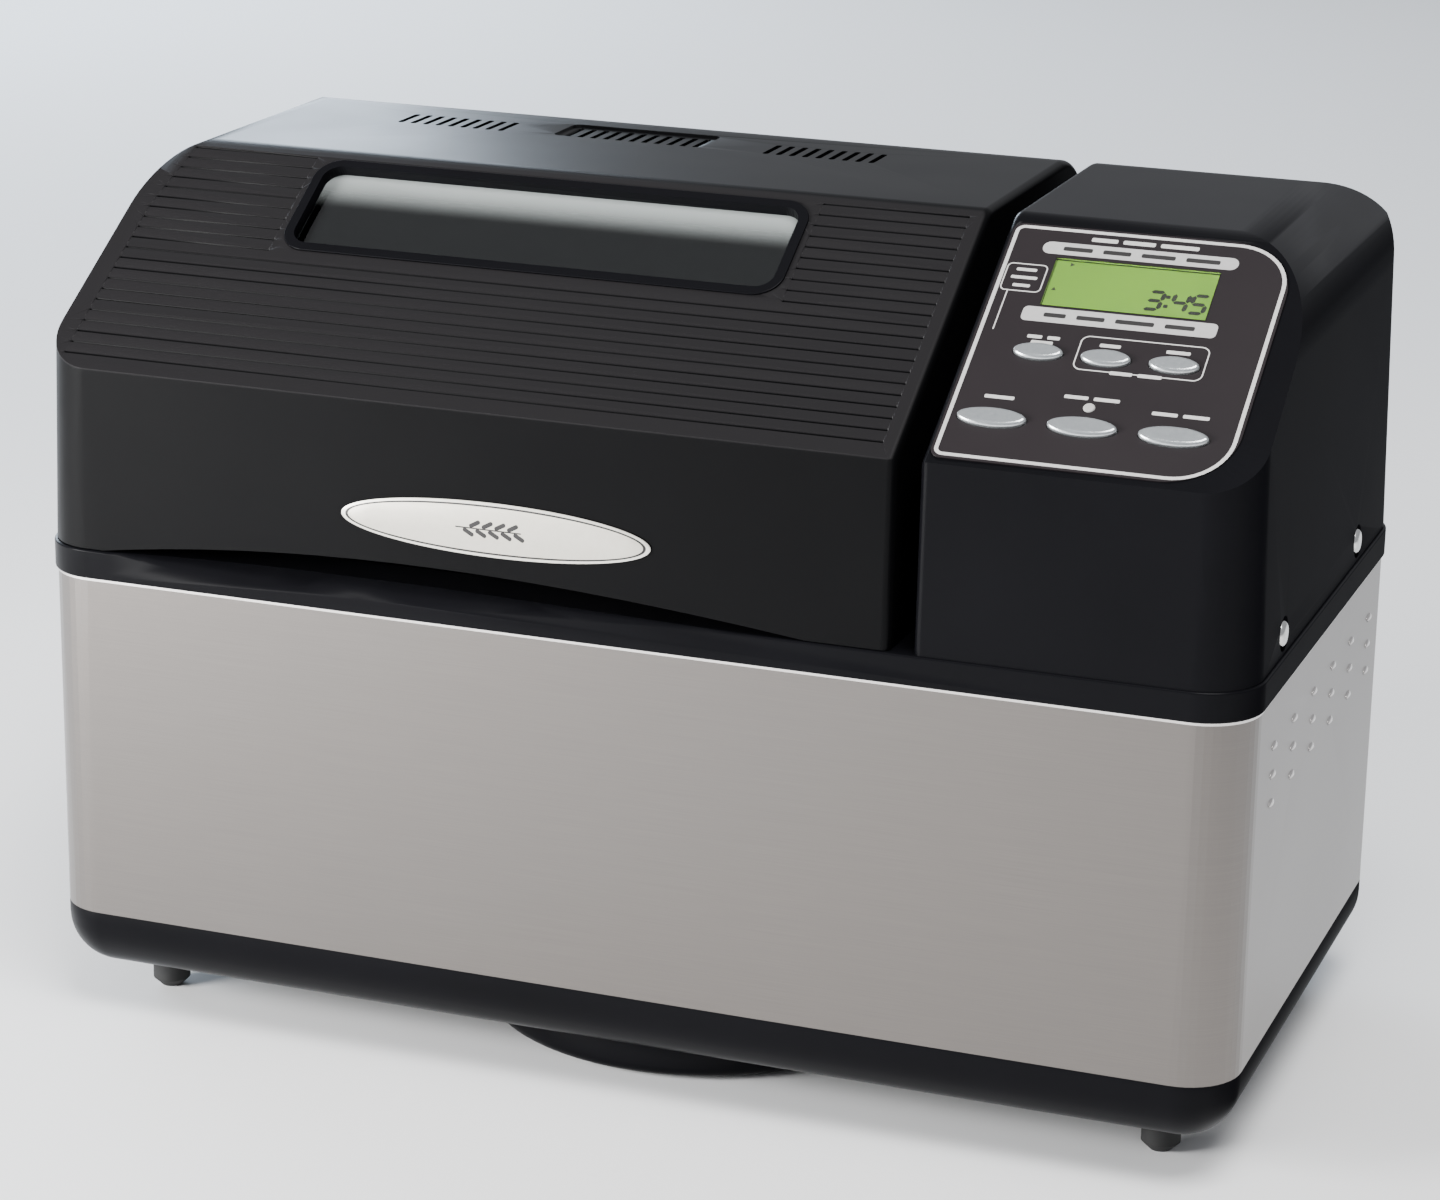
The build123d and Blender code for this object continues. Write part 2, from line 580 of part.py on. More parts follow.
def lid_shell():
    low = RIM_TOP + SEAT_GAP
    outer = dome() & block(LEFT - 5, LID_X1, FRONT - 5, BACK + 5, low, TOTAL_H + 5)
    outer = soften_cut(outer, LID_X1)
    inner = dome(WALL, RIM_TOP - 1) & block(
        LEFT - 5, LID_X1 - WALL, FRONT - 5, BACK + 5, RIM_TOP - 1, TOTAL_H + 5
    )
    shell = outer - inner
    arch = grip_curve(low - 1, RIM_TOP + GRIP_RISE, RIM_TOP + GRIP_RISE)
    tips = Polyline(arch @ 1, (arch @ 1) - (0, 3), (arch @ 0) - (0, 3), arch @ 0)
    shell -= Pos(0, FRONT + 20, 0) * Rot(90, 0, 0) * extrude(make_face([arch, tips]), 40)
    for cut in rib_grooves():
        shell -= cut
    shell -= on_slope(window_shape(SLIP), *WINDOW_MID, -WALL - 4, 5)
    for cut in vent_slots():
        shell -= cut
    for boss, place in zip(lid_bosses(), lid_screw_places()):
        shell += boss
        shell -= disc(place[3], place[2], SCREW_R + 0.1, FLANGE_Z, FLANGE_Z + 11)
    shell -= block(LEFT - 5, LID_X1 + 5, HINGE_Y, BACK + 5, RIM_TOP - 5, LID_BACK_EDGE)
    for x in HINGE_X:
        half = KNUCKLE_W / 2 + 0.4
        shell -= block(x - half, x + half, HINGE_Y, BACK + 5, RIM_TOP, HINGE_Z + 6)
        for side in (-1, 1):
            x0 = min(x + side * half, x + side * (half + EAR_W))
            ear = rod_x(x0, x0 + EAR_W, HINGE_Y, HINGE_Z, EAR_R)
            ear += block(x0, x0 + EAR_W, HINGE_Y, BACK - 1.2, HINGE_Z - 3.5, HINGE_Z + 6)
            shell += ear - rod_x(x0 - 1, x0 + EAR_W + 1, HINGE_Y, HINGE_Z, PIN_R + RUN)
    return shell


def window_bezel():
    """Raised lip round the window, with walls down to the glass."""
    depth = -GLASS_DEPTH - GLASS_T - 1.0
    lip = on_slope(window_shape(BEZEL_W), *WINDOW_MID, 0.05, BEZEL_PROUD)
    lip = fillet(highest_face(lip).edges(), 0.4)
    wall = on_slope(window_shape(0.0), *WINDOW_MID, depth, 0.3)
    ring = lip + wall
    ring -= on_slope(window_shape(-1.6), *WINDOW_MID, depth - 1, 3)
    return ring - on_slope(window_shape(-0.8), *WINDOW_MID, -GLASS_DEPTH - GLASS_T - 0.1, -GLASS_DEPTH + 0.1)


def window_glass_outer():
    return on_slope(window_shape(-0.9), *WINDOW_MID, -GLASS_DEPTH - GLASS_T, -GLASS_DEPTH)


def window_glass_inner():
    top = -LINER_INSET + GLASS_T + 0.1
    return on_slope(window_shape(3.0), *WINDOW_MID, -LINER_INSET + 0.1, top)


def lid_inner_cover():
    """Sheet liner that closes the lid from below, with a flange to the walls."""
    x0 = LEFT + LINER_SIDE
    x1 = LID_X1 - LINER_SIDE
    y0 = FRONT + 21.0
    y1 = BACK - 27.0
    outer = dome(LINER_INSET) & block(x0, x1, y0, y1, FLANGE_Z, TOTAL_H)
    hollow = block(x0 + LINER, x1 - LINER, y0 + LINER, y1 - LINER, FLANGE_Z - 1, TOTAL_H)
    inner = dome(LINER_INSET + LINER) & hollow
    rim = WALL + 0.6
    flange = rounded(BODY_W - 2 * rim, BODY_D - 2 * rim, CORNER_R - rim, FLANGE_Z, FLANGE_Z + FLANGE_T)
    flange &= block(LEFT, LID_X1 - rim, FRONT, BACK - 16.0, FLANGE_Z, FLANGE_Z + FLANGE_T)
    cover = outer + flange - inner
    cover -= on_slope(window_shape(-3.0), *WINDOW_MID, -LINER_INSET - 6, 0)
    for _, _, y, x in lid_screw_places():
        cover -= disc(x, y, SCREW_R + 0.2, FLANGE_Z - 1, FLANGE_Z + 2)
    return cover


def lid_heater():
    z0 = TOTAL_H - LINER_INSET + SLIP
    return block(LID_MID - 90, LID_MID + 90, TOP_CREASE_Y + 12, BACK - 40, z0, z0 + 2.0)


def lid_screws():
    solids = []
    for _, _, y, x in lid_screw_places():
        head = disc(x, y, 3.0, FLANGE_Z - 1.8, FLANGE_Z)
        solids.append(head + disc(x, y, SCREW_R, FLANGE_Z - 0.5, FLANGE_Z + 10))
    return Compound(children=solids)


def badge_plate():
    """Oval plate on the upright front of the lid, following its lean."""
    at_y = FRONT + (BADGE_Z - RIM_TOP) * LEAN
    plane = Plane(origin=(LID_MID + BADGE_OFFSET, at_y, BADGE_Z), x_dir=(1, 0, 0), z_dir=(0, -1, LEAN))
    return plane * Pos(0, 0, 0.02) * extrude(Ellipse(BADGE_L / 2, BADGE_H / 2), BADGE_T)


def hinge_pins():
    reach = KNUCKLE_W / 2 + 0.4 + EAR_W
    return Compound(children=[rod_x(x - reach, x + reach, HINGE_Y, HINGE_Z, PIN_R) for x in HINGE_X])


# ---------------------------------------------------------------- oven
def oven_chamber():
    low = CHAMBER_FLOOR - LINER
    box = rounded(CHAMBER_L + 2 * LINER, CHAMBER_W + 2 * LINER, CHAMBER_R + LINER, low, CHAMBER_TOP, LID_MID)
    box += rounded(CHAMBER_L + 12, CHAMBER_W + 12, CHAMBER_R + 6, CHAMBER_TOP - LINER, CHAMBER_TOP, LID_MID)
    box -= rounded(CHAMBER_L, CHAMBER_W, CHAMBER_R, CHAMBER_FLOOR, CHAMBER_TOP + 1, LID_MID)
    for x in SHAFT_X:
        box -= disc(x, 0, BEARING_R + SLIP, low - 1, CHAMBER_FLOOR + 1)
    for y in (-ELEMENT_END, ELEMENT_END):
        box -= rod_x(CHAMBER_X1 - 2, CHAMBER_X1 + 3, y, ELEMENT_Z, ELEMENT_R + SLIP)
    return box - rod_x(CHAMBER_X1 - 2, CHAMBER_X1 + 3, SENSOR_Y, SENSOR_Z, 2.5 + SLIP)


def heating_element():
    """Tube in one open loop round the pan, its two ends out through the right wall."""
    x0 = LID_MID - CHAMBER_L / 2 + 11
    x1 = CHAMBER_X1 - 11
    y1 = CHAMBER_W / 2 - 11
    z = ELEMENT_Z
    out = CHAMBER_X1 + 14
    points = [(out, -ELEMENT_END, z), (x1, -ELEMENT_END, z), (x1, -y1, z), (x0, -y1, z)]
    points += [(x0, y1, z), (x1, y1, z), (x1, ELEMENT_END, z), (out, ELEMENT_END, z)]
    path = FilletPolyline(*points, radius=10.0)
    return sweep(Plane(path @ 0, z_dir=path % 0) * Circle(ELEMENT_R), path)


def element_clips():
    y1 = CHAMBER_W / 2 - 11
    top = ELEMENT_Z - ELEMENT_R - SLIP
    solids = []
    for x in (LID_MID - 80, LID_MID + 80):
        for y in (-y1, y1):
            solids.append(block(x - 3, x + 3, y - 4, y + 4, CHAMBER_FLOOR, top))
    return Compound(children=solids)


def temperature_sensor():
    probe = rod_x(CHAMBER_X1 - 14, CHAMBER_X1 + 8, SENSOR_Y, SENSOR_Z, 2.5)
    return probe + rod_x(CHAMBER_X1 + LINER + 0.1, CHAMBER_X1 + 4, SENSOR_Y, SENSOR_Z, 5.0)


def pan_clips():
    reach = FOOT_RING_L / 2 + SLIP
    low = CHAMBER_FLOOR
    left = block(LID_MID - reach - 1.2, LID_MID - reach, -12, 12, low, low + 14)
    left += block(LID_MID - reach - 9, LID_MID - reach, -12, 12, low, low + 1.2)
    right = block(LID_MID + reach, LID_MID + reach + 1.2, -12, 12, low, low + 14)
    right += block(LID_MID + reach, LID_MID + reach + 9, -12, 12, low, low + 1.2)
    return Compound(children=[left, right])


# ---------------------------------------------------------------- pan, bail and blades
def baking_pan():
    floor = RectangleRounded(PAN_FLOOR_L, PAN_FLOOR_W, PAN_R)
    outer = Pos(LID_MID, 0, PAN_BOTTOM) * extrude(floor, PAN_H, taper=-PAN_DRAFT)
    outer = fillet(outer.edges().group_by(Axis.Z)[0], 4.0)
    wall = PAN_WALL
    inner = Pos(LID_MID, 0, PAN_BOTTOM + wall) * extrude(
        RectangleRounded(PAN_FLOOR_L - 2 * wall, PAN_FLOOR_W - 2 * wall, PAN_R - wall), PAN_H, taper=-PAN_DRAFT
    )
    inner = fillet(inner.edges().group_by(Axis.Z)[0], 2.8)
    rim = rounded(PAN_L + 6, PAN_W + 6, PAN_R + 8, PAN_TOP - 1.6, PAN_TOP, LID_MID)
    rim = fillet(rim.edges().group_by(Axis.Z)[-1] + rim.edges().group_by(Axis.Z)[0], 0.7)
    pan = outer + rim - inner
    for x in SHAFT_X:
        pan -= disc(x, 0, BEARING_R + RUN, PAN_BOTTOM - 1, PAN_BOTTOM + 3)
    return pan


def pan_foot():
    low = CHAMBER_FLOOR + SLIP
    ring = rounded(FOOT_RING_L, FOOT_RING_W, 20.0, low, PAN_BOTTOM, LID_MID)
    inner = 2 * FOOT_RING_T
    return ring - rounded(FOOT_RING_L - inner, FOOT_RING_W - inner, 18.0, low - 1, PAN_BOTTOM + 1, LID_MID)


def pan_bearings():
    solids = []
    for x in SHAFT_X:
        bush = disc(x, 0, BEARING_R, PAN_BOTTOM - 1.5, PAN_BOTTOM + 3.5)
        bush += disc(x, 0, BEARING_R + 3, PAN_BOTTOM - 1.5, PAN_BOTTOM - 0.1)
        solids.append(bush - disc(x, 0, SHAFT_R + RUN, PAN_BOTTOM - 3, PAN_BOTTOM + 5))
    return Compound(children=solids)


def handle_ears():
    solids = []
    for side in (-1, 1):
        x0 = LID_MID + side * (PAN_L / 2 + 0.2)
        x1 = x0 + side * 2.0
        ear = block(min(x0, x1), max(x0, x1), -8, 8, PIVOT_Z - 9, PIVOT_Z + 7)
        solids.append(ear - rod_x(min(x0, x1) - 1, max(x0, x1) + 1, 0, PIVOT_Z, BAIL_R + RUN))
    return Compound(children=solids)


def pan_handle():
    """Wire bail with its ends turned in through the ears."""
    end = PAN_L / 2 + 0.4
    arm = PAN_L / 2 + 6.5
    points = [(-end, 0), (-arm, 0), (-arm, BAIL_REACH), (arm, BAIL_REACH), (arm, 0), (end, 0)]
    path = FilletPolyline(*[(LID_MID + x, y, PIVOT_Z) for x, y in points], radius=[3, 14, 14, 3])
    return sweep(Plane(path @ 0, z_dir=path % 0) * Circle(BAIL_R), path)


def pan_shaft(x):
    """Shaft through the pan floor with the driven wing on its lower end."""
    wing_low = PAN_BOTTOM - 7.0
    wing = block(x - 6.1, x + 6.1, -11, 11, wing_low, wing_low + 4)
    shaft = disc(x, 0, SHAFT_R, wing_low + 1, PAN_BOTTOM + 20)
    return wing + shaft


def kneading_blade(x):
    low = PAN_BOTTOM + 3.8
    hub = disc(x, 0, 8.5, low, PAN_BOTTOM + 24)
    hub = fillet(hub.edges().group_by(Axis.Z)[-1], 3.0)
    outer = [(BLADE_REACH, low), (BLADE_REACH, low + 14), (22, low + 30), (10, low + 26)]
    outline = Polyline((4, low), *outer, (4, low + 12), close=True)
    corner = fillet(make_face(outline).vertices().filter_by(lambda v: v.X > 9), 4.0)
    fin = Pos(x, 2, 0) * Rot(90, 0, 0) * extrude(corner, 4)
    blade = hub + fin
    return blade - disc(x, 0, SHAFT_R + 0.1, low - 1, PAN_BOTTOM + 20.3)


# ---------------------------------------------------------------- drive
def chassis_plate():
    plate = rounded(BODY_W - 26, BODY_D - 26, 10.0, PLATE_TOP - PLATE_T, PLATE_TOP)
    for x in SHAFT_X:
        plate -= disc(x, 0, BEARING_R + RUN, PLATE_TOP - 5, PLATE_TOP + 1)
    plate -= disc(MOTOR_X, MOTOR_Y, 14, PLATE_TOP - 5, PLATE_TOP + 1)
    for x, y in BASE_POSTS:
        plate -= disc(x, y, SCREW_R + 0.1, PLATE_TOP - 5, PLATE_TOP + 1)
    return plate


def shaft_bearings():
    solids = []
    for x in SHAFT_X:
        body = disc(x, 0, BEARING_R, PLATE_TOP - 4, CHAMBER_FLOOR + 7)
        body += disc(x, 0, BEARING_R + 6, PLATE_TOP, PLATE_TOP + 2)
        solids.append(body - disc(x, 0, SHAFT_R + RUN, PLATE_TOP - 6, CHAMBER_FLOOR + 9))
    return Compound(children=solids)


def drive_shaft(x):
    """Shaft with the driving cup on its upper end, two lugs standing up beside the pan's wing."""
    disc_low = CHAMBER_FLOOR + 7.4
    shaft = disc(x, 0, SHAFT_R, PULLEY_LOW - 1, disc_low + 1)
    cup = disc(x, 0, 13, disc_low, disc_low + 3.6)
    lugs = block(x - 11.5, x - 6.5, -4, 4, disc_low + 1, disc_low + 8)
    lugs += block(x + 6.5, x + 11.5, -4, 4, disc_low + 1, disc_low + 8)
    return shaft + cup + lugs


def track(x, y, radius, low):
    """Belt track 7 mm wide between two flanges."""
    part = disc(x, y, radius + 2, low, low + 1)
    part += disc(x, y, radius, low, low + 9)
    return part + disc(x, y, radius + 2, low + 8, low + 9)


def drive_pulley_right():
    x = SHAFT_X[1]
    low = PULLEY_LOW
    wheel = track(x, 0, BIG_PULLEY_R, low) + disc(x, 0, SYNC_PULLEY_R, low + 8.5, low + 15)
    wheel += disc(x, 0, SYNC_PULLEY_R + 2, low + 15, low + 16)
    return wheel - disc(x, 0, SHAFT_R + 0.01, low - 1, low + 20)


def drive_pulley_left():
    x = SHAFT_X[0]
    low = PULLEY_LOW
    wheel = disc(x, 0, 8, low, low + 8.5) + track(x, 0, SYNC_PULLEY_R, low + 7.5)
    return wheel - disc(x, 0, SHAFT_R + 0.01, low - 1, low + 20)


def motor_pulley():
    low = PULLEY_LOW
    wheel = track(MOTOR_X, MOTOR_Y, MOTOR_PULLEY_R, low) + disc(MOTOR_X, MOTOR_Y, 8, low + 8, low + 15)
    return wheel - disc(MOTOR_X, MOTOR_Y, SHAFT_R + 0.01, low - 1, low + 20)


def belt(first, second, low):
    """Closed band round two tracks; each end is a centre and a track radius."""
    def band(grow):
        circles = [Pos(x, y) * Circle(radius + grow) for x, y, radius in (first, second)]
        return make_hull(circles[0].edges() + circles[1].edges())
    ring = band(SLIP + BELT_T) - band(SLIP)
    return Pos(0, 0, low) * extrude(ring, BELT_W)


def drive_belt():
    return belt((SHAFT_X[1], 0, BIG_PULLEY_R), (MOTOR_X, MOTOR_Y, MOTOR_PULLEY_R), PULLEY_LOW + 1.5)


def sync_belt():
    return belt((SHAFT_X[0], 0, SYNC_PULLEY_R), (SHAFT_X[1], 0, SYNC_PULLEY_R), PULLEY_LOW + 9.2)


def motor_bracket():
    plate = rounded(76, 68, 6.0, PLATE_TOP, PLATE_TOP + 2, MOTOR_X, MOTOR_Y)
    for dx in (-30, 30):
        for dy in (-26, 26):
            plate += disc(MOTOR_X + dx, MOTOR_Y + dy, 4, PLATE_TOP, MOTOR_LOW)
    return plate - disc(MOTOR_X, MOTOR_Y, 14, PLATE_TOP - 1, PLATE_TOP + 3)


def motor_frame():
    stack = rounded(72, 64, 4.0, MOTOR_LOW, MOTOR_LOW + 30, MOTOR_X, MOTOR_Y)
    bells = disc(MOTOR_X, MOTOR_Y, 26, MOTOR_LOW - 10, MOTOR_LOW + 42)
    bells = fillet(bells.edges().group_by(Axis.Z)[-1] + bells.edges().group_by(Axis.Z)[0], 4.0)
    return stack + bells - disc(MOTOR_X, MOTOR_Y, SHAFT_R + RUN, MOTOR_LOW - 12, MOTOR_LOW + 44)


def motor_shaft():
    return disc(MOTOR_X, MOTOR_Y, SHAFT_R, PULLEY_LOW - 1, MOTOR_LOW + 58)


def motor_fan():
    low = MOTOR_LOW + 46
    wheel = disc(MOTOR_X, MOTOR_Y, 7, low, low + 11) + disc(MOTOR_X, MOTOR_Y, 29, low, low + 1.5)
    for index in range(9):
        vane = block(6, 28, -0.75, 0.75, low + 1, low + 10)
        wheel += Pos(MOTOR_X, MOTOR_Y, 0) * Rot(0, 0, 40 * index) * vane
    return wheel - disc(MOTOR_X, MOTOR_Y, SHAFT_R + 0.01, low - 1, low + 12)


def capacitor():
    can = disc(MOTOR_X + 36, BACK - 54, 14, PLATE_TOP + 0.1, PLATE_TOP + 50)
    return fillet(can.edges().group_by(Axis.Z)[-1], 2.0)


def power_board():
    return block(HOUSING_X0, RIGHT - 13, BACK - 31.6, BACK - 30, PLATE_TOP + 0.1, PLATE_TOP + 95)


def transformer():
    y1 = BACK - 31.7
    return block(HOUSING_X0 + 6, HOUSING_X0 + 48, y1 - 32, y1, PLATE_TOP + 30, PLATE_TOP + 66)


def cord_gland():
    """Bush in the back of the base where a power cord would come out."""
    x = MOTOR_X + 10
    z = STEEL_BOTTOM - 10
    bush = Pos(x, BACK - 12, z) * Rot(-90, 0, 0) * extrude(Circle(6.0), 12.8)
    bush += Pos(x, BACK - 13.5, z) * Rot(-90, 0, 0) * extrude(Circle(8.0), 3.0)
    return bush - Pos(x, BACK - 15, z) * Rot(-90, 0, 0) * extrude(Circle(3.6), 20)


# ---------------------------------------------------------------- fasteners
def side_screws():
    solids = []
    seat_x = RIGHT - (SIDE_SCREW_Z - RIM_TOP) * LEAN - SPOT_FACE
    for y in SIDE_SCREW_Y:
        head = rod_x(seat_x, seat_x + SIDE_SCREW_HEAD_H, y, SIDE_SCREW_Z, SIDE_SCREW_HEAD_R)
        head = fillet(head.edges().sort_by(Axis.X)[-1], SIDE_SCREW_HEAD_H - 0.1)
        solids.append(head + rod_x(seat_x - 9, seat_x + 0.5, y, SIDE_SCREW_Z, SCREW_R))
    return Compound(children=solids)


def base_screws():
    solids = []
    for x, y in BASE_POSTS:
        head = disc(x, y, 3.0, BASE_BOTTOM + 0.4, BASE_BOTTOM + 2.2)
        solids.append(head + disc(x, y, SCREW_R, BASE_BOTTOM + 1, PLATE_TOP + 1.5))
    return Compound(children=solids)


# ---------------------------------------------------------------- writing the parts
def all_parts():
    parts = {
        "base_tray": base_tray(),
        "base_cap": base_cap(),
        "feet": feet(),
        "steel_wrap": steel_wrap(),
        "rim_frame": rim_frame(),
        "control_housing": control_housing(),
        "panel_overlay": panel_overlay(),
        "lcd_lens": lcd_lens(),
        "lcd_module": lcd_module(),
        "status_led": status_led(),
        "tact_switches": tact_switches(),
        "control_board": control_board(),
        "lid_shell": lid_shell(),
        "window_bezel": window_bezel(),
        "window_glass_outer": window_glass_outer(),
        "window_glass_inner": window_glass_inner(),
        "lid_inner_cover": lid_inner_cover(),
        "lid_heater": lid_heater(),
        "lid_screws": lid_screws(),
        "badge_plate": badge_plate(),
        "hinge_pins": hinge_pins(),
        "oven_chamber": oven_chamber(),
        "heating_element": heating_element(),
        "element_clips": element_clips(),
        "temperature_sensor": temperature_sensor(),
        "pan_clips": pan_clips(),
        "baking_pan": baking_pan(),
        "pan_foot": pan_foot(),
        "pan_bearings": pan_bearings(),
        "handle_ears": handle_ears(),
        "pan_handle": pan_handle(),
        "pan_shaft_left": pan_shaft(SHAFT_X[0]),
        "pan_shaft_right": pan_shaft(SHAFT_X[1]),
        "kneading_blade_left": kneading_blade(SHAFT_X[0]),
        "kneading_blade_right": kneading_blade(SHAFT_X[1]),
        "chassis_plate": chassis_plate(),
        "shaft_bearings": shaft_bearings(),
        "drive_shaft_left": drive_shaft(SHAFT_X[0]),
        "drive_shaft_right": drive_shaft(SHAFT_X[1]),
        "drive_pulley_left": drive_pulley_left(),
        "drive_pulley_right": drive_pulley_right(),
        "motor_pulley": motor_pulley(),
        "drive_belt": drive_belt(),
        "sync_belt": sync_belt(),
        "motor_bracket": motor_bracket(),
        "motor_frame": motor_frame(),
        "motor_shaft": motor_shaft(),
        "motor_fan": motor_fan(),
        "capacitor": capacitor(),
        "power_board": power_board(),
        "transformer": transformer(),
        "cord_gland": cord_gland(),
        "side_screws": side_screws(),
        "base_screws": base_screws(),
    }
    for name, (x, v, size) in key_places().items():
        parts[name] = button(x, v, size)
    return parts


os.makedirs("parts", exist_ok=True)
for name, shape in all_parts().items():
    export_step(shape, f"parts/{name}.step")
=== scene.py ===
import json
import math

import bmesh
import bpy
from mathutils import Matrix, Vector

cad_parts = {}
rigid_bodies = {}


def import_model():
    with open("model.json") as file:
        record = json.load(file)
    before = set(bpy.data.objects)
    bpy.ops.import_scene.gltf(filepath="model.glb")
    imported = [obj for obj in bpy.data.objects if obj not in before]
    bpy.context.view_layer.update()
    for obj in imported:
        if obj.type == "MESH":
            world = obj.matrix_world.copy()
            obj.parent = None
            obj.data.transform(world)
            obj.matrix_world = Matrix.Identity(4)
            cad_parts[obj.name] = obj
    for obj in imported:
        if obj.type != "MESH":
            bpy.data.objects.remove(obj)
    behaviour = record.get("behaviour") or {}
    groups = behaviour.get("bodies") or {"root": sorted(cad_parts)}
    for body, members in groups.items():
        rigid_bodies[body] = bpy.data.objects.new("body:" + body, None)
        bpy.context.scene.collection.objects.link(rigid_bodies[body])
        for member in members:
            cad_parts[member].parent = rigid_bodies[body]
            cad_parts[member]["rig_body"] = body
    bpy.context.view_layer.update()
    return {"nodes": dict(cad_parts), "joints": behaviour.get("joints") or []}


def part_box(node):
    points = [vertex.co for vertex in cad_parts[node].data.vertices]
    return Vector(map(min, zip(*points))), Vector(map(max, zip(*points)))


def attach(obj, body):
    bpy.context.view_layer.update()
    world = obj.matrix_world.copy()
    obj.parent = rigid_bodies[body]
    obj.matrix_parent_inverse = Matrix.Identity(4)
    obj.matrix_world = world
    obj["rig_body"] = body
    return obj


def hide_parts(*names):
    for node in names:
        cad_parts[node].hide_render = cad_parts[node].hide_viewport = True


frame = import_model()

bl_info = {
    "name": "Bread Machine",
    "version": (1, 0, 0),
    "blender": (4, 5, 0),
    "location": "3D View > Sidebar > Bread Machine",
    "description": "Finishes and details for a bread machine with a sloped control panel",
    "category": "Object",
}

MM = 0.001
NODES = frame["nodes"]
JOINTS = {joint["name"]: joint for joint in frame["joints"]}


# ---------------------------------------------------------------- places on the sloped face
# The buttons travel square to the slope, so their axis gives its three directions.
SLOPE_OUT = -Vector(JOINTS["start_press"]["axis"]).normalized()
SLOPE_X = Vector((1.0, 0.0, 0.0))
SLOPE_UP = SLOPE_OUT.cross(SLOPE_X).normalized()


def on_slope(point):
    """A point's place as (across, up the slope, out of the slope), in metres."""
    return Vector((point.dot(SLOPE_X), point.dot(SLOPE_UP), point.dot(SLOPE_OUT)))


def slope_span(node):
    """Lowest and highest corner of a node, measured along the slope's own directions."""
    points = [on_slope(vertex.co) for vertex in NODES[node].data.vertices]
    low = Vector([min(p[i] for p in points) for i in range(3)])
    high = Vector([max(p[i] for p in points) for i in range(3)])
    return low, high


def slope_matrix(x, v, out):
    """Places a flat piece drawn in X and Y on the slope."""
    turn = Matrix((SLOPE_X, SLOPE_UP, SLOPE_OUT)).transposed().to_4x4()
    place = SLOPE_X * x + SLOPE_UP * v + SLOPE_OUT * out
    return Matrix.Translation(place) @ turn


# ---------------------------------------------------------------- mesh helpers
def finish_mesh(bm, name, material, body, smooth=35.0):
    """Turns a bmesh into a piece that rides on a body and takes its finish from a slot."""
    mesh = bpy.data.meshes.new(name)
    bm.to_mesh(mesh)
    bm.free()
    mesh.shade_smooth()
    mesh.set_sharp_from_angle(angle=math.radians(smooth))
    piece = bpy.data.objects.new(name, mesh)
    bpy.context.scene.collection.objects.link(piece)
    mesh.materials.append(material)
    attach(piece, body)
    return piece


def refine(node, material, smooth=28.0):
    """A merged, smooth-shaded copy of a CAD node that stands in its place."""
    source = NODES[node]
    bm = bmesh.new()
    bm.from_mesh(source.data)
    bmesh.ops.remove_doubles(bm, verts=bm.verts[:], dist=0.002 * MM)
    bmesh.ops.dissolve_degenerate(bm, edges=bm.edges[:], dist=0.001 * MM)
    piece = finish_mesh(bm, f"{node}_finished", material, source["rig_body"], smooth)
    weighted = piece.modifiers.new("flat_faces_stay_flat", "WEIGHTED_NORMAL")
    weighted.keep_sharp = True
    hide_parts(node)
    return piece


def rounded_face(bm, width, height, radii, segments=10):
    """Flat face in XY about the origin; radii are for left and right corners."""
    half = Vector((width / 2, height / 2))
    corners = [(-half.x, -half.y), (half.x, -half.y), (half.x, half.y), (-half.x, half.y)]
    verts = [bm.verts.new((x, y, 0.0)) for x, y in corners]
    bm.faces.new(verts)
    sides = ((verts[0], verts[3]), (verts[1], verts[2]))
    for pair, radius in zip(sides, radii):
        if radius > 0.0:
            bmesh.ops.bevel(
                bm, geom=list(pair), offset=radius, offset_type="OFFSET", affect="VERTICES",
                segments=segments, profile=0.5, material=-1,
            )
    return bm.faces[:]


def thicken(bm, faces, depth):
    """Pushes faces out along +Z and keeps the solid closed."""
    made = bmesh.ops.extrude_face_region(bm, geom=faces, use_keep_orig=True)
    top = [item for item in made["geom"] if isinstance(item, bmesh.types.BMVert)]
    bmesh.ops.translate(bm, verts=top, vec=(0.0, 0.0, depth))
    bmesh.ops.recalc_face_normals(bm, faces=bm.faces[:])


def add_plate(target, width, height, radius, x, y, depth, turn=0.0):
    """A small rounded plate added to a bmesh, in the flat drawing plane."""
    bm = bmesh.new()
    faces = rounded_face(bm, width, height, (radius, radius), 4)
    thicken(bm, faces, depth)
    matrix = Matrix.Translation((x, y, 0.0)) @ Matrix.Rotation(turn, 4, "Z")
    bmesh.ops.transform(bm, matrix=matrix, verts=bm.verts[:])
    join(target, bm)


def add_ring(target, width, height, radii, line, x, y, depth):
    """A thin line that follows a rounded outline."""
    bm = bmesh.new()
    faces = rounded_face(bm, width, height, radii, 12)
    bmesh.ops.inset_individual(bm, faces=faces, thickness=line, depth=0.0)
    # The middle face is the only one that isn't a narrow strip.
    middle = max(bm.faces, key=lambda face: face.calc_area() / face.calc_perimeter())
    bmesh.ops.delete(bm, geom=[middle], context="FACES_ONLY")
    thicken(bm, bm.faces[:], depth)
    bmesh.ops.translate(bm, verts=bm.verts[:], vec=(x, y, 0.0))
    join(target, bm)


def join(target, bm):
    """Adds one bmesh to another."""
    mesh = bpy.data.meshes.new("joined")
    bm.to_mesh(mesh)
    bm.free()
    target.from_mesh(mesh)
    bpy.data.meshes.remove(mesh)


# ---------------------------------------------------------------- materials
def linear(code):
    """sRGB hex code as a linear colour with alpha 1."""
    channels = [int(code[i:i + 2], 16) / 255.0 for i in (1, 3, 5)]
    return (*[c / 12.92 if c <= 0.04045 else ((c + 0.055) / 1.055) ** 2.4 for c in channels], 1.0)


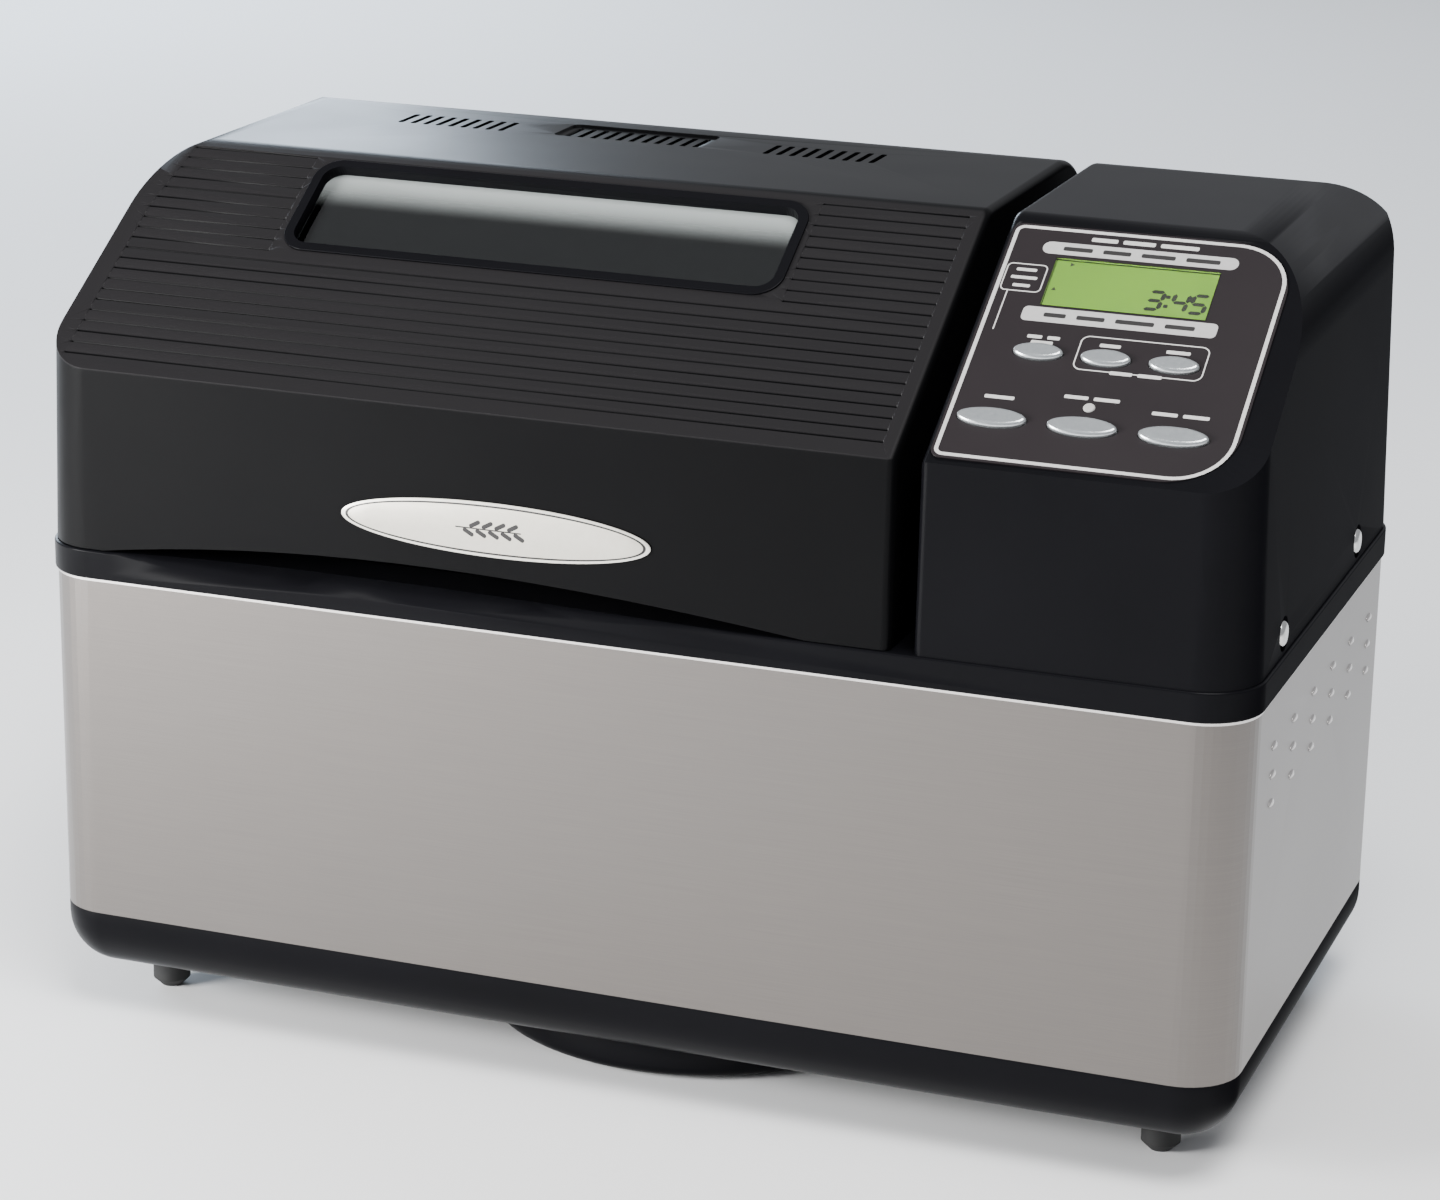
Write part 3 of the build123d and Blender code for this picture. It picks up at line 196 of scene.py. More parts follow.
def add(tree, kind, settings=None, links=None):
    """One node with its properties, socket values and incoming links."""
    made = tree.nodes.new(kind)
    for key, value in (settings or {}).items():
        if isinstance(key, str) and hasattr(made, key):
            setattr(made, key, value)
        else:
            socket_of(made, key).default_value = value
    for key, socket in (links or {}).items():
        tree.links.new(socket, socket_of(made, key))
    return made


def socket_of(made, key):
    """An input by number or name, the enabled one where several share a name."""
    if isinstance(key, int):
        return made.inputs[key]
    return next(socket for socket in made.inputs if socket.name == key and socket.enabled)


def shader(name, settings):
    """An empty material with one Principled shader."""
    material = bpy.data.materials.new(name)
    material.use_nodes = True
    tree = material.node_tree
    tree.nodes.clear()
    surface = add(tree, "ShaderNodeBsdfPrincipled", settings)
    add(tree, "ShaderNodeOutputMaterial", None, {"Surface": surface.outputs["BSDF"]})
    return material, tree, surface


def place(tree, scale=(1.0, 1.0, 1.0)):
    """Object coordinates through a Mapping node."""
    source = add(tree, "ShaderNodeTexCoord").outputs["Object"]
    return add(tree, "ShaderNodeMapping", {"Scale": scale}, {"Vector": source}).outputs["Vector"]


def noise(tree, vector, size_mm, detail=3.0):
    """Noise whose features are about size_mm across."""
    settings = {"Scale": 1.0 / (size_mm * MM), "Detail": detail, "Roughness": 0.55}
    return add(tree, "ShaderNodeTexNoise", settings, {"Vector": vector}).outputs["Fac"]


def spread(tree, value, low, high):
    """Maps 0..1 to low..high."""
    settings = {"To Min": low, "To Max": high}
    return add(tree, "ShaderNodeMapRange", settings, {"Value": value}).outputs["Result"]


def ease(tree, value, start, end, low, high):
    """Goes softly from low to high while the value goes from start to end."""
    settings = {
        "interpolation_type": "SMOOTHSTEP",
        "From Min": start, "From Max": end, "To Min": low, "To Max": high,
    }
    return add(tree, "ShaderNodeMapRange", settings, {"Value": value}).outputs["Result"]


def tint(tree, value, low, high):
    """Blends two colours by a value; low may be another node's output."""
    settings, links = {"data_type": "RGBA", "B": high}, {"Factor": value}
    (links if isinstance(low, bpy.types.NodeSocket) else settings)["A"] = low
    return colour_out(add(tree, "ShaderNodeMix", settings, links))


def colour_out(mix):
    """The Mix node's output for the kind of data that it blends."""
    return next(socket for socket in mix.outputs if socket.enabled)


def bump(tree, height, strength):
    """Relief of 0.02 mm, the depth of every fine texture here."""
    settings = {"Strength": strength, "Distance": 0.02 * MM}
    return add(tree, "ShaderNodeBump", settings, {"Height": height}).outputs["Normal"]


def moulded_abs(name, dark, light, rough, grain, level):
    """ABS, injection moulded with a fine spark texture: soft broad highlights, faint mottling."""
    material, tree, surface = shader(name, {"IOR": 1.45})
    where = place(tree)
    broad = noise(tree, where, 60.0, 2.0)
    # Drawn coarser than the real texture, which is too fine to show.
    fine = noise(tree, where, 0.6, 2.0)
    link = tree.links.new
    link(tint(tree, broad, linear(dark), linear(light)), surface.inputs["Base Color"])
    link(spread(tree, broad, *rough), surface.inputs["Roughness"])
    link(bump(tree, fine, grain), surface.inputs["Normal"])
    # Faces that look left or right lose almost all their reflection, a painted shade that keeps
    # them deep black.
    # An export drops this linked level, so an exported copy may look glossier.
    facing = add(tree, "ShaderNodeTexCoord").outputs["Normal"]
    sideways = add(tree, "ShaderNodeSeparateXYZ", None, {"Vector": facing}).outputs["X"]
    end = add(tree, "ShaderNodeMath", {"operation": "ABSOLUTE"}, {0: sideways}).outputs["Value"]
    link(ease(tree, end, 0.55, 0.97, level, 0.001), surface.inputs["Specular IOR Level"])
    return material


def ribbed_abs():
    """The lid's ABS with painted light and shade: dark grey on the ribs' crests, which face up to
    the light, near black in the grooves and on flat faces.
    """
    # Darker than the housing's same plastic: painted shade that keeps the grooves and flat faces
    # near black.
    material = moulded_abs("ribbed_black_abs", "#050506", "#09090a", (0.28, 0.36), 0.2, 0.08)
    tree = material.node_tree
    surface = next(n for n in tree.nodes if n.type == "BSDF_PRINCIPLED")
    flat = surface.inputs["Base Color"].links[0].from_socket
    crest = slope_span("lid_shell")[1].z
    settings = {"operation": "DOT_PRODUCT", 1: SLOPE_OUT}
    out = add(tree, "ShaderNodeVectorMath", settings, {0: place(tree)}).outputs["Value"]
    # Painted light: only the slope's crests, which face up to the light, turn dark grey.
    crest_painted_light = ease(tree, out, crest - 0.7 * MM, crest - 0.15 * MM, 0.0, 1.0)
    tree.links.new(tint(tree, crest_painted_light, flat, linear("#1e1d1e")), surface.inputs["Base Color"])
    return material


def brushed_stainless(name, dark, light, rough):
    """Stainless sheet, belt brushed along its length and clear coated: fine level grain."""
    settings = {"Metallic": 1.0, "Coat Weight": 0.15, "Coat Roughness": 0.25}
    material, tree, surface = shader(name, settings)
    # Drawn coarser than real brush lines, which are too fine to show.
    line_gap, line_length = 0.25, 40.0
    along = line_gap / line_length
    grain = noise(tree, place(tree, (along, along, 1.0)), line_gap, 2.0)
    broad = noise(tree, place(tree), 120.0, 2.0)
    link = tree.links.new
    link(tint(tree, grain, linear(dark), linear(light)), surface.inputs["Base Color"])
    mixed = add(tree, "ShaderNodeMath", {"operation": "MULTIPLY"}, {0: grain, 1: broad})
    link(spread(tree, mixed.outputs["Value"], rough, rough * 1.3), surface.inputs["Roughness"])
    link(bump(tree, grain, 0.06), surface.inputs["Normal"])
    return material


def cloudy(name, settings, light, dark, rough, size_mm, uneven, relief):
    """A plain finish whose colour, roughness and relief vary a little, patch by patch."""
    material, tree, surface = shader(name, settings)
    cloud = noise(tree, place(tree), size_mm)
    link = tree.links.new
    link(tint(tree, cloud, linear(dark), linear(light)), surface.inputs["Base Color"])
    smooth, coarse = rough * (1.0 - uneven), rough * (1.0 + uneven)
    link(spread(tree, cloud, smooth, coarse), surface.inputs["Roughness"])
    link(bump(tree, cloud, relief), surface.inputs["Normal"])
    return material


def satin_metal(name, light, dark, rough, size_mm=1.5, metallic=1.0):
    """Bare, plated or painted metal with a fine uneven finish."""
    return cloudy(name, {"Metallic": metallic}, light, dark, rough, size_mm, 0.15, 0.05)


def plain_plastic(name, light, dark, rough, ior=1.49, size_mm=2.0, level=0.5):
    """Moulded or printed plastic with slight unevenness."""
    settings = {"IOR": ior, "Specular IOR Level": level}
    return cloudy(name, settings, light, dark, rough, size_mm, 0.1, 0.04)


def clear_pane(name, colour, rough, ior, level):
    """Clear pane, glass or acrylic: sharp reflections and a faint tint."""
    settings = {
        "Base Color": linear(colour), "Transmission Weight": 1.0,
        "IOR": ior, "Specular IOR Level": level,
    }
    material, tree, surface = shader(name, settings)
    smear = noise(tree, place(tree), 25.0, 2.0)
    tree.links.new(spread(tree, smear, rough, rough * 2.0), surface.inputs["Roughness"])
    return material, tree, surface


def glass_with_painted_reflection(low, high):
    """Tempered oven glass with a painted reflection: silvery and less clear towards its upper edge.
    """
    material, tree, surface = clear_pane("painted_reflection_glass", "#aab0ae", 0.03, 1.5, 0.3)
    height = add(tree, "ShaderNodeSeparateXYZ", None, {"Vector": place(tree)}).outputs["Z"]
    # Painted reflection: the pane turns silvery and less clear towards its upper edge.
    clearness = ease(tree, height, low, high, 1.0, 0.25)
    tree.links.new(clearness, surface.inputs["Transmission Weight"])
    return material


def backlit_display(colour, dark):
    """Liquid crystal behind a green diffuser: even glow with a slight fall-off."""
    settings = {"Emission Strength": 0.35, "Roughness": 0.5}
    material, tree, surface = shader("backlit_display", settings)
    cloud = noise(tree, place(tree), 30.0, 1.0)
    shade = tint(tree, cloud, linear(dark), linear(colour))
    tree.links.new(shade, surface.inputs["Base Color"])
    tree.links.new(shade, surface.inputs["Emission Color"])
    return material


def make_materials():
    """Every finish on the machine, by name."""
    pane_low, pane_high = (corner.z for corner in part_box("window_glass_outer"))
    # Where the painted reflection starts, part way up the pane.
    reflection_low = pane_low + 0.6 * (pane_high - pane_low)
    return {
        # Moulded in a spark-textured tool: black, with one soft sheen along each rounding.
        "abs": moulded_abs("satin_black_abs", "#0a0a0c", "#0f0f12", (0.26, 0.33), 0.15, 0.06),
        # The same plastic in a ribbed tool, with painted light on the slope's crests and painted
        # shade in its grooves: fine dark stripes across the slope.
        "lid": ribbed_abs(),
        # Belt brushed sheet: an even warm grey with level hairlines.
        "steel": brushed_stainless("brushed_stainless", "#6b6764", "#78736f", 0.3),
        # The same sheet, far lighter: a painted highlight on the hem's thin edge and on the vent
        # hoods.
        "steel_painted_highlight": brushed_stainless("painted_highlight_steel", "#d3cfcb", "#e2dedb", 0.22),
        # Screen-printed matt film: a flat warm black that hardly mirrors.
        "film": plain_plastic("matt_panel_film", "#221d1f", "#1c181a", 0.5, 1.49, 40.0, 0.15),
        # Metallic ink: pale lines with a weak metal shine.
        "line": satin_metal("silver_ink", "#d8d6d3", "#c6c4c1", 0.4, metallic=0.3),
        # Opaque grey ink: flat light bars.
        "legend": plain_plastic("grey_ink", "#b4b2b1", "#a5a3a2", 0.5),
        # Opaque black ink: flat dark marks.
        "dark_ink": plain_plastic("dark_ink", "#1b1818", "#141212", 0.5),
        # Moulded keys sprayed with metallic paint: soft silver with a bright upper edge.
        "silver": satin_metal("silver_painted_button", "#cfd3d4", "#bfc4c6", 0.24, metallic=0.85),
        # Anodised and fine blasted: a creamy, matt metal.
        "badge": satin_metal("champagne_aluminium", "#ddd8cc", "#d2cdc0", 0.42, metallic=0.45),
        # A lighter copy of the badge's metal on its raised lip: a light outline.
        "badge_lip": satin_metal("bright_badge_edge", "#f1eee4", "#e4e0d4", 0.3, metallic=0.5),
        # Float glass with a painted reflection: silvery above, see-through below.
        "glass_painted_reflection": glass_with_painted_reflection(reflection_low, pane_high),
        # Tempered float glass: clear, with a dark tint that deepens the oven behind it.
        "glass": clear_pane("tempered_glass", "#3a403e", 0.02, 1.5, 0.2)[0],
        # Polished acrylic: clear, so that the figures stay crisp.
        "lens": clear_pane("acrylic_lens", "#f2f6ee", 0.01, 1.49, 0.04)[0],
        # Green diffuser lit from behind: it glows a little in any light.
        "display": backlit_display("#84b92a", "#76a822"),
        # Frosted moulding: a pale spot without a highlight.
        "led": plain_plastic("frosted_indicator", "#b9b7b3", "#aaa8a4", 0.4),
        # Deep-drawn aluminium: broad, slightly wavy reflections.
        "liner": satin_metal("pressed_aluminium", "#b8b8b6", "#a7a7a5", 0.38, 6.0),
        # Moulded rubber: dull black without a highlight.
        "rubber": plain_plastic("black_rubber", "#1a1a1a", "#111111", 0.75, 1.52),
        # Bent and zinc plated: cool grey with soft mirroring.
        "plated": satin_metal("zinc_plated_steel", "#b5b7b9", "#9ea1a4", 0.3),
        # Turned and polished heads: small bright points.
        "screw": satin_metal("polished_screw", "#dcdcda", "#c8c8c6", 0.2),
        # Sprayed and baked coat: dark grey with a low sheen.
        "coat": plain_plastic("grey_non_stick_coat", "#38383b", "#2e2e31", 0.36, 1.35),
        # Die-cast and left as cast: a grainy mid grey.
        "alloy": satin_metal("die_cast_alloy", "#a3a3a1", "#8d8d8b", 0.5, 3.0),
        # Pressed powder, sintered and oiled: brown and dull.
        "bronze": satin_metal("sintered_bronze", "#a67a44", "#8c6434", 0.5),
        # Moulded nylon: milky white with a soft highlight.
        "nylon": plain_plastic("white_nylon", "#d6d3ca", "#cac7bd", 0.45, 1.53),
        # Glass-fibre board under a solder mask: even green, half gloss.
        "board": plain_plastic("green_circuit_board", "#1f5a35", "#184a2b", 0.4, 1.55),
        # Untextured moulding: plain dark grey.
        "black_part": plain_plastic("black_moulding", "#232323", "#1a1a1a", 0.5, 1.53),
        # Drawn steel tube, oxidised by use: patchy brown grey.
        "sheath": satin_metal("heat_darkened_sheath", "#5b5650", "#3f3b37", 0.55, 4.0),
    }


MATERIALS = {}


# ---------------------------------------------------------------- what a user may change
def mm_size(label, text, default):
    """A length property, its default given in millimetres."""
    return bpy.props.FloatProperty(
        name=label, description=text, default=default * MM, unit="LENGTH", precision=5
    )


class PanelSettings(bpy.types.PropertyGroup):
    """Printed lines and display on the control panel."""

    border_inset: mm_size("Border inset", "Gap between the panel's edge and its silver line", 1.0)
    border_width: mm_size("Border width", "Width of the silver line", 1.3)
    ink_height: mm_size("Ink height", "Thickness of the printed marks", 0.06)
    digit_height: mm_size("Digit height", "Height of the figures in the display", 9.6)
    stroke: mm_size("Digit stroke", "Width of one bar of a figure", 1.55)


class SteelSettings(bpy.types.PropertyGroup):
    """Vents and hem of the steel body."""

    vent_front: mm_size("First vent", "First column of vents, in from the front", 41.0)
    vent_pitch: mm_size("Vent pitch", "Distance between columns of vents", 30.0)
    vent_top: mm_size("Top row", "First row of vents, down from the rim", 19.0)
    vent_row: mm_size("Row pitch", "Distance between rows of vents", 10.0)
    hood_length: mm_size("Hood length", "Length of one pressed hood", 7.4)
    hood_height: mm_size("Hood height", "How far a hood stands out", 0.9)
    hood_drop: mm_size("Hood rise", "Height of a hood above its slot", 1.9)
    corner: mm_size("Corner radius", "Upright corner of the steel", 19.6)
    hem_height: mm_size("Hem height", "Height of the bright hem", 0.9)


class StageSettings(bpy.types.PropertyGroup):
    """Floor, lights and camera."""

    floor_colour: bpy.props.FloatVectorProperty(
        name="Floor colour", description="Pale studio floor", subtype="COLOR", size=3,
        default=(0.92, 0.92, 0.92),
    )
    key_power: bpy.props.FloatProperty(
        name="Light power", description="Power that the soft lights are shares of", default=56.0,
        unit="POWER",
    )
    sky: bpy.props.FloatProperty(
        name="Sky", description="Strength of the even light all round", default=0.5
    )
    lens: bpy.props.FloatProperty(
        name="Lens", description="Focal length", default=101.2, unit="CAMERA"
    )


# ---------------------------------------------------------------- casing
PLAIN_FINISHES = {
    "base_tray": "abs",
    "base_cap": "abs",
    "rim_frame": "abs",
    "control_housing": "abs",
    "lid_shell": "lid",
    "window_bezel": "abs",
    "feet": "rubber",
    "cord_gland": "rubber",
    "steel_wrap": "steel",
    "panel_overlay": "film",
    "status_led": "led",
    "side_screws": "screw",
    "base_screws": "plated",
    "window_glass_outer": "glass_painted_reflection",
    "window_glass_inner": "glass",
    "lcd_lens": "lens",
}
OVEN_FINISHES = {
    "lid_inner_cover": "liner",
    "lid_heater": "sheath",
    "lid_screws": "plated",
    "hinge_pins": "plated",
    "oven_chamber": "liner",
    "heating_element": "sheath",
    "element_clips": "plated",
    "temperature_sensor": "plated",
    "pan_clips": "plated",
    "baking_pan": "coat",
    "pan_foot": "alloy",
    "pan_bearings": "bronze",
    "handle_ears": "plated",
    "pan_handle": "plated",
    "pan_shaft_left": "plated",
    "pan_shaft_right": "plated",
    "kneading_blade_left": "coat",
    "kneading_blade_right": "coat",
}
DRIVE_FINISHES = {
    "chassis_plate": "plated",
    "shaft_bearings": "bronze",
    "drive_shaft_left": "plated",
    "drive_shaft_right": "plated",
    "drive_pulley_left": "nylon",
    "drive_pulley_right": "nylon",
    "motor_pulley": "nylon",
    "drive_belt": "rubber",
    "sync_belt": "rubber",
    "motor_bracket": "plated",
    "motor_frame": "plated",
    "motor_shaft": "plated",
    "motor_fan": "nylon",
    "capacitor": "liner",
    "power_board": "board",
    "transformer": "black_part",
    "control_board": "board",
    "tact_switches": "black_part",
}


class MACHINE_OT_casing(bpy.types.Operator):
    """Body, rim, lid, housing, glass, feet and screws."""

    bl_idname = "machine.casing"
    bl_label = "Casing"

    def execute(self, context):
        for node, finish in PLAIN_FINISHES.items():
            refine(node, MATERIALS[finish])
        return {"FINISHED"}


VENT_ROWS, VENT_COLUMNS = 3, 6
# How far a hood is sunk into the steel, so that it has no gap behind it.
HOOD_SINK = 0.1 * MM
HEM_THICKNESS = 0.5 * MM
# How much wider the hem is than the steel, both sides together.
HEM_STANDS_OUT = 0.3 * MM


class MACHINE_OT_steel_details(bpy.types.Operator):
    """Pressed hoods over the side vents and the hem along the top of the steel, both in a lighter
    steel, a painted highlight.
    """

    bl_idname = "machine.steel_details"
    bl_label = "Steel details"

    def execute(self, context):
        settings = context.scene.machine_steel
        low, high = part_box("steel_wrap")
        hoods = bmesh.new()
        for row in range(VENT_ROWS):
            for column in range(VENT_COLUMNS):
                y = low.y + settings.vent_front + column * settings.vent_pitch
                z = high.z - settings.vent_top - row * settings.vent_row
                hood = self.hood(settings)
                place_at = (high.x - HOOD_SINK, y, z + HOOD_SINK)
                bmesh.ops.translate(hood, vec=place_at, verts=hood.verts[:])
                join(hoods, hood)
        # Hoods and hem take the lighter steel: a painted highlight.
        bright = MATERIALS["steel_painted_highlight"]
        finish_mesh(hoods, "vent_hoods", bright, "housing", 50.0)
        hem = bmesh.new()
        width, depth = high.x - low.x, high.y - low.y
        radii = (settings.corner, settings.corner)
        add_ring(hem, width, depth, radii, HEM_THICKNESS, 0.0, 0.0, settings.hem_height)
        grow = (1.0 + HEM_STANDS_OUT / width, 1.0 + HEM_STANDS_OUT / depth, 1.0)
        bmesh.ops.scale(hem, vec=grow, verts=hem.verts[:])
        bmesh.ops.translate(hem, vec=(0.0, 0.0, high.z - settings.hem_height), verts=hem.verts[:])
        finish_mesh(hem, "steel_hem", bright, "housing")
        return {"FINISHED"}

    @staticmethod
    def hood(settings):
        """The upper half of a flattened ball, closed below."""
        hood = bmesh.new()
        bmesh.ops.create_uvsphere(hood, u_segments=20, v_segments=12, radius=1.0)
        bmesh.ops.bisect_plane(
            hood, geom=hood.verts[:] + hood.edges[:] + hood.faces[:], plane_co=(0, 0, 0),
            plane_no=(0, 0, -1), clear_outer=True,
        )
        bmesh.ops.edgenet_fill(hood, edges=[e for e in hood.edges if e.is_boundary])
        size = (settings.hood_height, settings.hood_length / 2, settings.hood_drop)
        bmesh.ops.scale(hood, vec=size, verts=hood.verts[:])
        return hood


class MACHINE_OT_oven(bpy.types.Operator):
    """Oven chamber, heater, pan, handle and kneading blades."""

    bl_idname = "machine.oven"
    bl_label = "Oven and pan"

    def execute(self, context):
        for node, finish in OVEN_FINISHES.items():
            refine(node, MATERIALS[finish])
        return {"FINISHED"}


class MACHINE_OT_drive(bpy.types.Operator):
    """Motor, pulleys, belts, shafts and boards."""

    bl_idname = "machine.drive"
    bl_label = "Drive"

    def execute(self, context):
        for node, finish in DRIVE_FINISHES.items():
            refine(node, MATERIALS[finish])
        return {"FINISHED"}


# ---------------------------------------------------------------- badge
BADGE_THICKNESS = 0.8 * MM
BADGE_LAYERS = (
    # name, inset as a share of half the length, base and depth in millimetres, finish
    ("badge_lip", 0.0, 0.0, 0.42, "badge_lip"),
    ("badge_line", 0.0171, 0.4, 0.06, "dark_ink"),
    ("badge_face", 0.0285, 0.4, 0.10, "badge"),
)
# The ends come in further than the sides, so the dark line looks equally wide all round.
END_INSET = 1.6
GRAINS = 9
GRAIN_PITCH = 2.3 * MM
GRAIN_SIZE = (4.4 * MM, 1.5 * MM, 0.7 * MM)
GRAIN_OFFSET = 1.5 * MM
GRAIN_TURN = 0.5
STALK_SIZE = (24.0 * MM, 0.45 * MM, 0.2 * MM)
STALK_AT = -2.0 * MM
THIN_INK = 0.03 * MM


class MACHINE_OT_badge(bpy.types.Operator):
    """Oval badge with a bright lip, a dark line and a plain wheat ear."""

    bl_idname = "machine.badge"
    bl_label = "Badge"

    def execute(self, context):
        low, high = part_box("badge_plate")
        middle = (low + high) / 2
        half = Vector(((high.x - low.x) / 2, (high.z - low.z) / 2))
        lean = math.atan2(high.y - low.y - BADGE_THICKNESS, high.z - low.z)
        front = Matrix.Translation(middle) @ Matrix.Rotation(math.radians(90.0) - lean, 4, "X")
        for name, share, base, depth, finish in BADGE_LAYERS:
            bm = bmesh.new()
            bmesh.ops.create_circle(bm, cap_ends=True, segments=96, radius=1.0)
            inset = share * half.x
            size = Vector((half.x - inset * END_INSET, half.y - inset, 1.0))
            bmesh.ops.scale(bm, vec=size, verts=bm.verts[:])
            thicken(bm, bm.faces[:], depth * MM)
            rim = [e for e in bm.edges if all(v.co.z > depth * MM * 0.5 for v in e.verts)]
            bmesh.ops.bevel(
                bm, geom=rim, offset=depth * MM * 0.45, affect="EDGES", segments=2, profile=0.5,
                material=-1,
            )
            bmesh.ops.translate(bm, verts=bm.verts[:], vec=(0.0, 0.0, base * MM))
            bmesh.ops.transform(bm, matrix=front, verts=bm.verts[:])
            piece = finish_mesh(bm, name, MATERIALS[finish], "lid")
            if name == "badge_lip":
                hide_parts("badge_plate")
        ear = bmesh.new()
        for index in range(GRAINS):
            side = (-1, 1)[index % 2]
            along = (index - GRAINS // 2) * GRAIN_PITCH
            add_plate(ear, *GRAIN_SIZE, along, side * GRAIN_OFFSET, THIN_INK, side * GRAIN_TURN)
        add_plate(ear, *STALK_SIZE, STALK_AT, 0.0, THIN_INK)
        bmesh.ops.translate(ear, verts=ear.verts[:], vec=(0.0, 0.0, 0.5 * MM))
        bmesh.ops.transform(ear, matrix=front, verts=ear.verts[:])
        finish_mesh(ear, "badge_wheat_ear", MATERIALS["dark_ink"], "lid")
        return {"FINISHED"}


# ---------------------------------------------------------------- control panel
SEGMENTS = {
    # name: (x, y, upright) in units of half the figure's width and half its height
    "top": (0.0, 1.0, False),
    "middle": (0.0, 0.0, False),
    "bottom": (0.0, -1.0, False),
    "upper_left": (-1.0, 0.5, True),
    "upper_right": (1.0, 0.5, True),
    "lower_right": (1.0, -0.5, True),
}
FIGURES = {
    3: ("top", "middle", "bottom", "upper_right", "lower_right"),
    4: ("middle", "upper_left", "upper_right", "lower_right"),
    5: ("top", "middle", "bottom", "upper_left", "lower_right"),
}
FIGURE_LEAN = 0.12
# Steps from the last figure to each one, the colon taking part of a step.
FIGURE_STEPS = ((5, 0.0), (4, 1.0), (3, 2.35))
COLON_STEP = 1.68
# Pointers at the display's edge: place as a share of its size, and turn in degrees.
POINTERS = ((-0.40, 0.42, 270.0), (-0.46, -0.12, 360.0))


def add_figure(target, figure, x, y, height, stroke):
    """One seven-bar figure, leaning slightly to the right."""
    half_w = height * 0.25
    half_h = height / 2 - stroke / 2
    shear = Matrix.Identity(4)
    shear[0][1] = FIGURE_LEAN
    for name in FIGURES[figure]:
        sx, sy, upright = SEGMENTS[name]
        length = half_h - stroke * 0.25 if upright else 2 * half_w - stroke * 0.2
        bar = bmesh.new()
        faces = rounded_face(bar, length, stroke, (stroke * 0.49, stroke * 0.49), 1)
        thicken(bar, faces, THIN_INK)
        if upright:
            quarter_turn = Matrix.Rotation(math.radians(90.0), 3, "Z")
            bmesh.ops.rotate(bar, verts=bar.verts[:], matrix=quarter_turn)
        bmesh.ops.translate(bar, verts=bar.verts[:], vec=(sx * half_w, sy * half_h, 0.0))
        bmesh.ops.transform(bar, matrix=shear, verts=bar.verts[:])
        bmesh.ops.translate(bar, verts=bar.verts[:], vec=(x, y, 0.0))
        join(target, bar)


class MACHINE_OT_display(bpy.types.Operator):
    """Backlit display with its figures."""

    bl_idname = "machine.display"
    bl_label = "Display"

    def execute(self, context):
        settings = context.scene.machine_panel
        refine("lcd_module", MATERIALS["display"])
        face = slope_span("lcd_module")[1].z
        lens_low, lens_high = slope_span("lcd_lens")
        centre = (lens_low + lens_high) / 2
        width, height = (lens_high - lens_low).xy
        tall, dot = settings.digit_height, settings.stroke
        pitch = tall * 0.66
        right = width / 2 - tall * 0.42
        base = -height / 2 + tall * 0.78
        figures = bmesh.new()
        for figure, steps in FIGURE_STEPS:
            add_figure(figures, figure, right - steps * pitch, base, tall, dot)
        for level in (-0.22, 0.22):
            at = (right - COLON_STEP * pitch, base + level * tall)
            add_plate(figures, dot, dot, dot * 0.3, *at, THIN_INK)
        for x, y, turn in POINTERS:
            tip = bmesh.new()
            bmesh.ops.create_circle(tip, cap_ends=True, segments=3, radius=1.0 * MM)
            thicken(tip, tip.faces[:], THIN_INK)
            spin = Matrix.Rotation(math.radians(turn), 4, "Z")
            bmesh.ops.transform(tip, matrix=spin, verts=tip.verts[:])
            bmesh.ops.translate(tip, verts=tip.verts[:], vec=(x * width, y * height, 0.0))
            join(figures, tip)
        place_on = slope_matrix(centre.x, centre.y, face + 0.01 * MM)
        bmesh.ops.transform(figures, matrix=place_on, verts=figures.verts[:])
        finish_mesh(figures, "display_figures", MATERIALS["dark_ink"], "housing")
        return {"FINISHED"}


KEYS = ("crust", "time", "cycle", "timer", "start", "select")
# Left and right corners of the border.
BORDER_RADII = (3.2 * MM, 19.0 * MM)
BAR_HEIGHT = 6.6 * MM
BAR_GAP = 1.2 * MM
THIN_LINE = 0.45 * MM
DASH_HEIGHT = 1.5 * MM
# Dashes in place of words, in millimetres: key, lengths, height above the key's middle.
KEY_WORDS = (
    ("crust", (5.0, 4.2), 7.0), ("crust", (7.4,), 4.6), ("time", (7.0,), 6.0),
    ("cycle", (8.0,), 6.0), ("timer", (10.0,), 9.6), ("start", (8.0, 8.6), 13.0),
    ("select", (8.4, 8.6), 9.6),
)
PAIR_WORDS = (7.5, 8.0)
TITLE_WORDS = (9.0, 11.0, 13.0)
SIDE_WORDS = (7.0, 9.0, 6.0)
UPPER_BAR_WORDS = (10.0, 9.5, 11.5, 11.5)
LOWER_BAR_WORDS = (7.5, 9.5, 13.0, 10.0)


